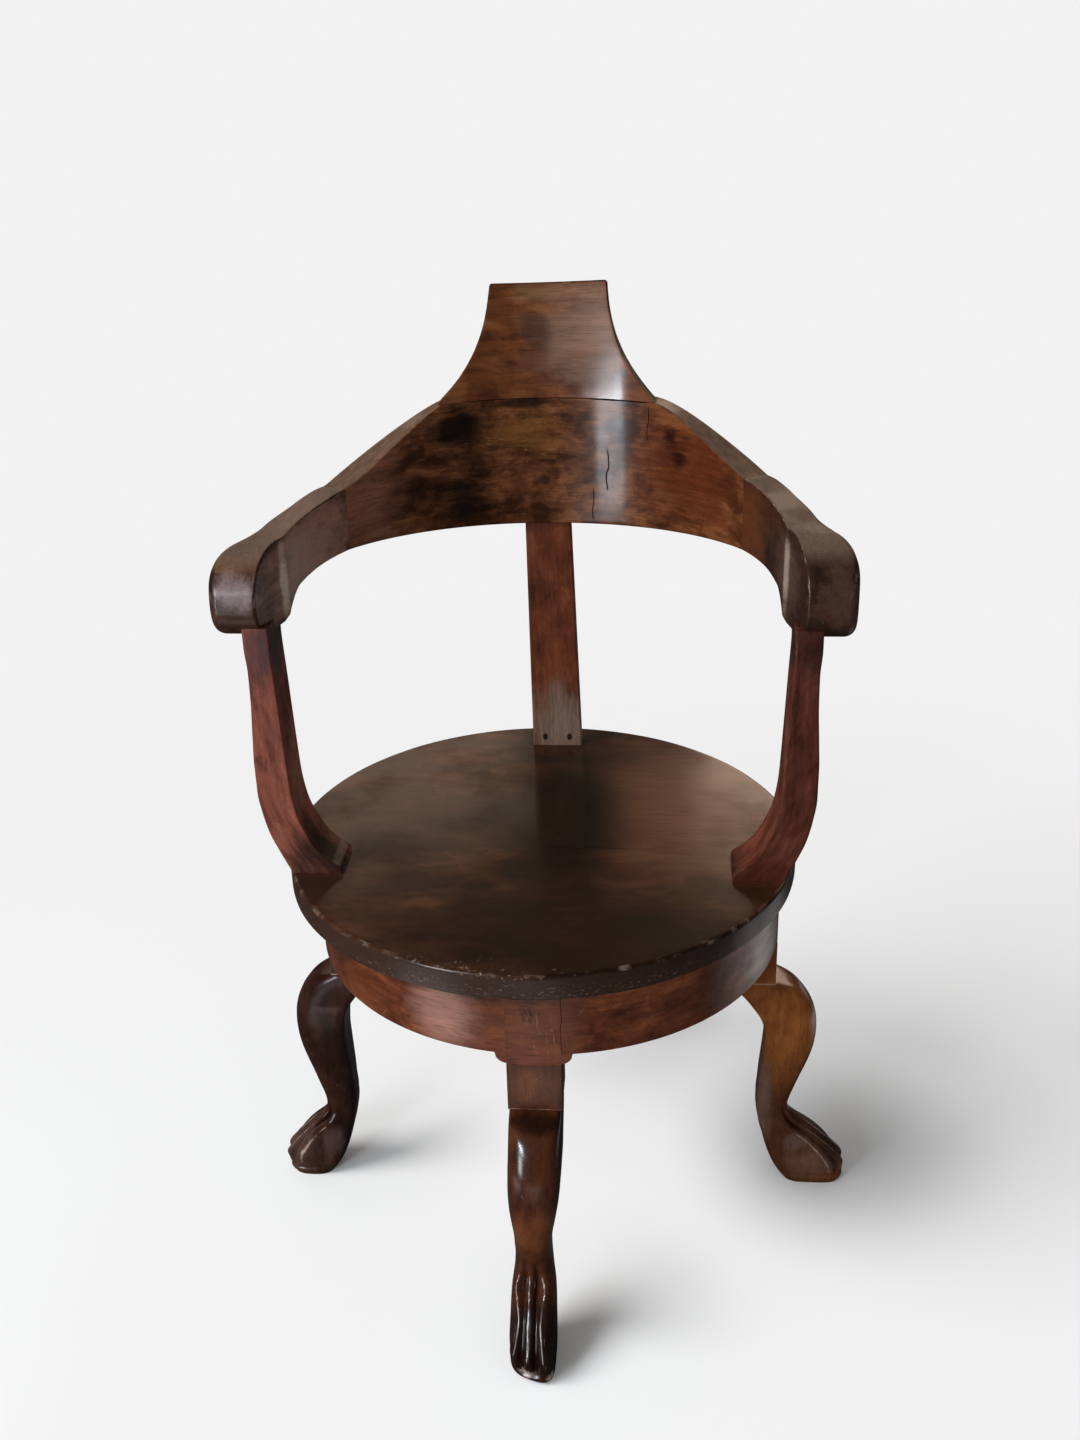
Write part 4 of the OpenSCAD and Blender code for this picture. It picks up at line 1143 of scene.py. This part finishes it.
# %% Shape the arms
def arm_grid(side):
    """The arm on one side, +1 for +X and -1 for -X.

    At each station the section runs up the inner face, over the top, down
    the outer face and back under. Near a face the top and underside are
    drawn in by the depth of a quarter circle, r - r sin a, at the distance
    r - r cos a from the face. At the nose, where the drawn-in curves end,
    the quarter circle starts late, at the angle whose sine is 1 - t / r.
    """
    joint = np.radians(np.linspace(90 - joint_half, 9, 40))
    step_in = [-33.3, -34, -34.8, -41, -42, -43]
    nose = -SCROLL_TOP - SCROLL_TOP * np.sin(np.radians(np.linspace(1, 89.6, 64)))
    forward = [np.linspace(30, -32, 24), step_in, np.linspace(-44.5, -47, 3), nose]
    y_out = np.concatenate([rail_outer * np.sin(joint), *forward])
    y_in = np.concatenate([rail_radius * np.sin(joint), *forward])
    x_out, x_in = outer_x(y_out, side), inner_x(y_in)
    scroll = smooth_step(20, -60, y_in)
    into = np.clip(y_in + scroll_reach, 0, None)
    turn, shares = np.linspace(0, 1, 10), np.linspace(0, 1, 9)[1:-1]

    def corner(ease):
        """Distance from the face and depth drawn in, at each step of an arris."""
        begin = np.arcsin(np.clip(1 - into / ease, 0, 1))[:, None]
        angle = begin + (np.pi / 2 - begin) * turn
        return ease[:, None] * (1 - np.cos(angle)), ease[:, None] * (1 - np.sin(angle))

    width = np.hypot(x_out - x_in, y_out - y_in)[:, None]
    in_step, in_draw = corner(2.4 + 0.4 * scroll)
    out_step, out_draw = corner(2.5 + 6.5 * scroll)
    first, last = in_step[:, -1:], width - out_step[:, -1:]
    flat = first + (last - first) * shares
    over = np.hstack([in_step, flat, (width - out_step)[:, ::-1]])
    draw = np.hstack([in_draw, 0 * flat, out_draw[:, ::-1]])
    lift = np.sin(np.pi * turn)
    edge = np.hstack([lift + 0 * in_step, 0 * flat, lift + 0 * out_step])

    share = over / width
    x = x_in[:, None] + (x_out - x_in)[:, None] * share
    y = y_in[:, None] + (y_out - y_in)[:, None] * share
    top, low = arm_top(y, draw, right_lift if side > 0 else 0), arm_under(y, draw)
    outside = top[:, -1:] + (low[:, -1:] - top[:, -1:]) * shares
    inside = low[:, :1] + (top[:, :1] - low[:, :1]) * shares
    none = 0 * outside
    xs, ys = (np.hstack([a, a[:, -1:] + none, a[:, ::-1], a[:, :1] + none]) for a in (x, y))
    zs = np.hstack([top, outside, low[:, ::-1], inside])
    edges = np.hstack([edge, none, edge[:, ::-1] * 0.6, none])
    run = run_along(joined((x_in + x_out) / 2, y_in))
    fibre = joined(run + GRAIN_SHIFT["arm"] * side, zs, xs)
    return joined(seat_x + side * xs, ys, zs), edges, fibre


right_arm_blotches = [
    ((0.205, 0.1, 0.74), (0.03, 0.07, 0.07), "5c3119", 0.85, 0.5),
    ((0.226, -0.04, 0.73), (0.02, 0.06, 0.06), "5a4438", 0.6, 0.7),
    # Painted highlight: a pale line down the ridge of the inner face.
    ((0.2284, -0.037, 0.735), (0.008, 0.008, 0.05), "a08c7e", 0.7, 0.5),
    ((0.27, -0.1, 0.72), (0.03, 0.03, 0.03), "4a2418", 0.7, 1.0),
    ((0.275, -0.09, 0.73), (0.03, 0.03, 0.04), "4e392c", 0.6, 1.0),
]
left_arm_blotches = [
    ((-0.28, -0.09, 0.756), (0.04, 0.03, 0.012), "6a4426", 0.7, 1.0),
    # Painted reflection: a broad pale sheen over the inner face.
    ((-0.23, 0.03, 0.735), (0.05, 0.16, 0.08), "a87c6a", 0.9, 0.6),
    # Painted highlight: a pale line down the ridge of the inner face.
    ((-0.2424, -0.038, 0.726), (0.009, 0.009, 0.05), "d0beb2", 0.8, 0.4),
    # Painted highlight: a pale band across the front of the scroll.
    ((-0.275, -0.096, 0.735), (0.035, 0.03, 0.022), "8c7676", 0.7, 0.8),
]
for node, side, browns, wear, gloss, blotches in (
    ("arm_right", 1, "23140e 321c14 40281d 8f7f72", 0.3, 0.42, right_arm_blotches),
    ("arm_left", -1, "25140e 3a2218 4c3020 1a100d", 0.5, 0.28, left_arm_blotches),
):
    finish = polished_wood(
        node + "_finish",
        browns,
        blotches=blotches,
        # Their tops turn greyer: partly dust, partly a painted sheen.
        dust_and_sheen=("6e5a4c", 0.8),
        figure_share=0.45,
        streak_depth=0.2,
        wear=wear,
        marks=0.4,
        gloss=gloss,
        coat_gloss=0.24,
    )
    wooden(node, arm_grid(side), finish, "seat")

# %% [markdown]
# ## The arm supports
# Each support is sawn from a 50 mm board to a serpentine: a foot that
# sweeps in over the seat, a belly and a slim neck under the scroll. The
# inner and outer lines are paired station by station, and the section
# between them keeps the board's thickness.

# %% Saw the supports
support_board, support_reach = 50.0, 90.0
support_foot = np.sqrt(seat_radius**2 - support_reach**2) - 1
support_height = arm_low - seat_top + 12


def line_up(beside_foot, beside_rail):
    """Stations of (distance out, height), measured from the foot and the rail."""
    return np.array([[support_foot + x, z] for x, z in beside_foot]
                    + [[rail_radius + x, z] for x, z in beside_rail])


INNER_LINE = line_up(
    [(-51, 0), (-50, 5), (-40, 13), (-30, 23)],
    [(-4, 42), (4, 64), (8, 92), (9.5, 122), (11, 160), (12.5, 200), (14, 238),
     (14, support_height)],
)
OUTER_LINE = line_up(
    [(0, 0)],
    [(20, 11), (26.5, 26), (33.5, 44), (38.5, 66), (41.5, 90), (41.5, 118), (40, 150),
     (38, 185), (37.5, 215), (39, 240), (39, support_height)],
)


def support_grid(side):
    """The board between two faired lines, carried from the seat to the arm."""
    index = np.arange(len(INNER_LINE))
    station = np.linspace(0, index[-1], 110)
    first, second = (
        joined(*(fair(station, index, line[:, k]) for k in (0, 1)))
        for line in (INNER_LINE, OUTER_LINE)
    )
    span = np.linalg.norm(second - first, axis=1)
    half_board = np.full(len(span), support_board / 2)
    u, v, edge = eased_ring(span / 2, half_board, [2.4, 1.6, 1.6, 2.4], 5, 5)
    share = (u / span[:, None] + 0.5)[..., None]
    face = first[:, None, :] + (second - first)[:, None, :] * share
    y, z = v + support_board / 2 - support_reach, seat_top + face[..., 1]
    run = run_along((first + second) / 2)
    fibre = joined(run + GRAIN_SHIFT["support"] * side, u, v)
    return joined(seat_x + side * face[..., 0], y, z), edge, fibre


right_support_blotches = [
    ((0.172, -0.065, 0.443), (0.03, 0.06, 0.025), "0d0705", 0.95, 0.4),
    ((0.245, -0.065, 0.675), (0.04, 0.06, 0.035), "2c1814", 0.7, 0.6),
]
left_support_blotches = [
    ((-0.212, -0.085, 0.457), (0.06, 0.06, 0.055), "1d0f0b", 0.9, 0.6),
    ((-0.255, -0.065, 0.675), (0.04, 0.06, 0.04), "40282c", 0.85, 0.6),
]
for node, side, browns, blotches in (
    ("support_right", 1, "3f1d12 54291c 6a3a2a 8a6a55", right_support_blotches),
    ("support_left", -1, "5e2e20 7c4232 965844 8a6a55", left_support_blotches),
):
    look = {"contrast": 1.5, "marks": 0.25, "gloss": 0.42, "coat": 0.12}
    finish = polished_wood(node + "_finish", browns, blotches=blotches, **look)
    wooden(node, support_grid(side), finish, "seat")

# %% [markdown]
# ## The back splat
# A plain tapered board leans from the seat to the rail and carries the back.
# It is the simplest bar of all: level sections that narrow slightly and
# drift to one side, because the old board has warped.

# %% Plane the splat
splat_foot = np.array([2.0, 210.0])
splat_head = np.array([-5.0, rail_radius + rail_thickness / 2 - 10.5])
splat_board = 21


def splat_grid():
    """Level sections from the seat's top to the rail's lower edge."""
    z = np.linspace(0, rail_low - seat_top, 40)
    share = z / z[-1]
    drift = splat_head - splat_foot
    lean = np.arctan(drift[1] / z[-1])
    half_thick = np.full(len(z), splat_board / np.cos(lean) / 2)
    u, v, edge = eased_ring(28 - 3 * share, half_thick, [1.8] * 4, 6, 2)
    x, y = ((splat_foot[k] + drift[k] * share)[:, None] for k in (0, 1))
    z = z[:, None] + seat_top
    return joined(seat_x + x + u, y + half_thick[:, None] + v, z), edge, joined(z, u, v)


splat_finish = polished_wood(
    "splat_finish",
    "4a200e 662f17 7e4023 8d7666",
    blotches=[((0.0, 0.215, 0.455), (0.06, 0.04, 0.075), "8f796a", 0.8, 0.6)],
    streak_depth=0.35,
    wear=0.15,
    gloss=0.4,
    coat=0.15,
)
wooden("back_splat", splat_grid(), splat_finish, "seat")

# %% [markdown]
# ## The pieces that keep their CAD shape
# The pegs, dowels, cross rails, battens and ironwork are already right in
# the CAD model. They only need a finish. Their meshes carry no attributes,
# so these finishes read Object coordinates.

# %% Finishes for the inner pieces
def plain_finish(name, browns, stretch, scale, roughness, metallic=0.0):
    """Drawn-out noise between two colours, with a matching bump."""
    made, tree, shader, spot = new_material(name)
    pattern = spot.vector("MULTIPLY", stretch).noise(scale, 5, 0.6, 0.3)
    colour = pattern.ramp(0.3, 0.7).mix(*map(tone, browns.split()))
    roughness = pattern.ramp(0.2, 0.8, roughness + 0.1, roughness - 0.08)
    finish_shader(tree, shader, pattern, Base_Color=colour, Roughness=roughness)
    shader.inputs["Metallic"].default_value = metallic
    return made


EVEN = (1, 1, 1)
for settings, names in (
    (
        ("inner_wood_along_x", "7d5a37 a98357", (0.06, 1, 1), 120, 0.62),
        "cross_rail_side apron_dowels arm_dowels",
    ),
    (
        ("inner_wood_along_y", "7d5a37 a98357", (1, 0.06, 1), 120, 0.62),
        "cross_rail_front seat_battens support_dowels crown_dowels",
    ),
    (("peg_finish", "160b07 2c170e", EVEN, 300, 0.42), "splat_pegs"),
    (
        ("iron_finish", "2b2a2a 4a4846", EVEN, 180, 0.45, 1.0),
        "pivot_plate plate_screws batten_screws spindle flange_screws spindle_washer spindle_nut",
    ),
    (("brass_finish", "8a6a2c b8924a", EVEN, 160, 0.38, 1.0), "pivot_bush"),
):
    finish = plain_finish(*settings)
    for node in names.split():
        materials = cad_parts[node].data.materials
        materials.clear()
        materials.append(finish)
    print(finish.name, "on", names)

# %% [markdown]
# ## Floor, light and camera
# The chair stands on a pale seamless floor. Near the chair the floor is lit
# like the chair and holds the soft shadows, but a share of the plain pale
# tone glows through it: a painted light that lightens the shadows, most in
# front of and under the seat, and fades out round the feet, so their
# contact shadows stay. Far from the chair the floor fades into the same
# plain pale tone as the world behind it. In the polish the floor shows as a
# few pale patches, like the lit parts of a real room.

# %% Floor and world
PALE = 0.888
MIRRORED_PATCHES = (
    ((0.7, 0.16, 0), (0.34, 0.4, 1), 0.9),
    ((-0.46, -0.56, 0), (0.32, 0.28, 1), 0.95),
    ((-0.02, -0.75, 0), (0.32, 0.3, 1), 0.45),
    ((-0.8, -1.8, 0), (0.5, 0.8, 1), 0.95),
    ((1.2, 1.3, 0), (0.6, 0.6, 1), 0.8),
    ((0.6, 1.95, 0), (0.6, 0.7, 1), 0.3),
)
FEET = ((0.03, -0.25, 0), (0.33, 0.03, 0), (0.03, 0.33, 0), (-0.25, 0.03, 0))


def grey(level):
    """A colour with that level in all channels."""
    return (level, level, level, 1)


def floor_material():
    """Pale floor: lit near the chair, with a painted glow that lightens its shadows except round
    the feet; plain backdrop tone far from it.
    """
    made, tree, shader, spot = new_material("pale_floor")
    tree.nodes.remove(shader)
    rays = ("Is Camera Ray", "Is Glossy Ray")
    path = {ray: wire(tree, "LightPath", output=ray) for ray in rays}

    def patch(centre, size):
        """The mask of a soft oval on the floor."""
        return place(tree, blotch_tree, Vector=spot, Centre=centre, Size=size, Ragged=0.1)["Mask"]

    mirrored = grey(0.04)
    for centre, size, pale in MIRRORED_PATCHES:
        mirrored = patch(centre, size).mix(mirrored, grey(pale))
    seen = path["Is Glossy Ray"].mix((0.4, 0.39, 0.38, 1), mirrored)
    seen = path["Is Camera Ray"].mix(seen, grey(0.93))
    # Painted light: the glow lightens the chair's shadow most in front of and under the seat.
    shadow_lifting_glow = patch((-0.05, -0.35, 0), (0.75, 0.75, 1)).ramp(0.0, 0.7, 0.45, 0.88)
    distance = spot.vector("LENGTH", output="Value")
    share = distance.ramp(0.9, 2.0, 0.45, 1.0).maths("MAXIMUM", shadow_lifting_glow)
    for foot in FEET:
        share = share * spot.vector("DISTANCE", foot, output="Value").ramp(0.03, 0.22)
    share = share * path["Is Camera Ray"]
    lit = wire(tree, "BsdfDiffuse", {"Color": seen})
    glow = wire(tree, "Emission", {"Color": grey(1), "Strength": PALE})
    mixed = wire(tree, "MixShader", {0: share, 1: lit, 2: glow})
    tree.links.new(mixed.socket, tree.nodes["Material Output"].inputs["Surface"])
    return made


reach = 30.0
floor_mesh = bpy.data.meshes.new("floor")
floor_corners = [(x * reach, y * reach, 0) for x, y in ((-1, -1), (1, -1), (1, 1), (-1, 1))]
floor_mesh.from_pydata(floor_corners, [], [(0, 1, 2, 3)])
floor_mesh.materials.append(floor_material())
floor = bpy.data.objects.new("floor", floor_mesh)
bpy.context.scene.collection.objects.link(floor)

world = bpy.data.worlds.new("studio")
bpy.context.scene.world = world
world.use_nodes = True
tree = world.node_tree
tree.nodes.clear()
dim = wire(tree, "LightPath", output="Is Glossy Ray") * -0.325 + 0.34
room = wire(tree, "Background", {"Color": (1.0, 0.99, 0.97, 1), "Strength": dim})
backdrop = wire(tree, "Background", {"Color": grey(1), "Strength": PALE})
seen = wire(tree, "LightPath", output="Is Camera Ray")
mixed = wire(tree, "MixShader", {0: seen, 1: room, 2: backdrop})
add(tree, "OutputWorld", {"Surface": mixed})
print("floor patches that the polish mirrors:", len(MIRRORED_PATCHES))

# %% [markdown]
# ### Lamps
# The old polish shows two bright windows, low on its left front side, and
# the warm light of the room's far wall on what lies level. Every lamp is a
# plain rectangle that the polish mirrors, and the wide soft key makes the
# shadows on the floor. A glint lights only the polish: it brightens a
# highlight and leaves the floor as it is.

# %% Lamps
def hang(name, kind, spot, target, power):
    """A lamp of one kind at spot, whose -Z axis points to target."""
    back = np.array(spot, float) - np.array(target, float)
    back = back / np.linalg.norm(back)
    side = np.cross((0, 0, 1), back)
    side = side / np.linalg.norm(side)
    turn = np.stack([side, np.cross(back, side), back], 1)
    lamp = bpy.data.objects.new(name, bpy.data.lights.new(name, kind))
    lamp.data.energy = power
    lamp.matrix_world = Matrix.Translation(spot) @ Matrix(turn.tolist()).to_4x4()
    bpy.context.scene.collection.objects.link(lamp)
    return lamp


sun = hang("soft_key", "SUN", (-1.35, -0.5, 1.35), (0, 0, 0), 2.5)
sun.data.angle = np.radians(32)
sun.visible_glossy = False

low_window = ((-1.21, -1.59, 0.44), (0.06, 0.2, 0.44))
cool, warm = (0.84, 0.92, 1.0), (1.0, 0.74, 0.55)
for name, spot, target, width, height, power, colour, only_mirrored in (
    ("window", *low_window, 0.5, 0.72, 13, cool, False),
    ("window_top", (-1.08, -1.585, 1.12), (0.055, 0.22, 1.0), 0.7, 0.07, 7, cool, False),
    ("glint", *low_window, 0.4, 0.72, 4, cool, True),
    ("glint_top", (-1.16, -1.53, 1.1), (0.055, 0.22, 1.0), 0.45, 0.07, 9, cool, True),
    ("wall_left", (-1.5, 2.7, 1.85), (-0.1, 0, 0.8), 2.6, 0.7, 6, warm, True),
    ("wall_right", (1.45, 2.7, 1.85), (0.1, 0, 0.8), 2.6, 0.7, 20, warm, True),
):
    lamp = hang(name, "AREA", spot, target, power)
    lamp.data.shape = "RECTANGLE"
    lamp.data.size, lamp.data.size_y, lamp.data.color = width, height, colour
    lamp.visible_diffuse = not only_mirrored
    lamp.visible_camera = False
    print(name, power, "W")

# %% [markdown]
# ### Camera
# The camera stands at an adult's eye height in front of the chair, a little
# to the right, and looks down at it. Its place and its turn were fitted so
# that corners measured on the photograph fall on the same places here.

# %% Camera
camera_data = bpy.data.cameras.new("camera")
camera_data.lens = 37.67
camera_data.sensor_width = 36.0
camera_data.clip_start, camera_data.clip_end = 0.05, 100.0
camera = bpy.data.objects.new("camera", camera_data)
camera.matrix_world = Matrix((
    (0.9968, -0.0095, 0.0794, 0.1135),
    (0.0761, 0.4184, -0.9051, -1.3649),
    (-0.0246, 0.9082, 0.4178, 1.1957),
    (0, 0, 0, 1),
))
bpy.context.scene.collection.objects.link(camera)
bpy.context.scene.camera = camera
bpy.context.scene.view_settings.view_transform = "Standard"
print("camera at", [round(v, 3) for v in camera.matrix_world.translation])
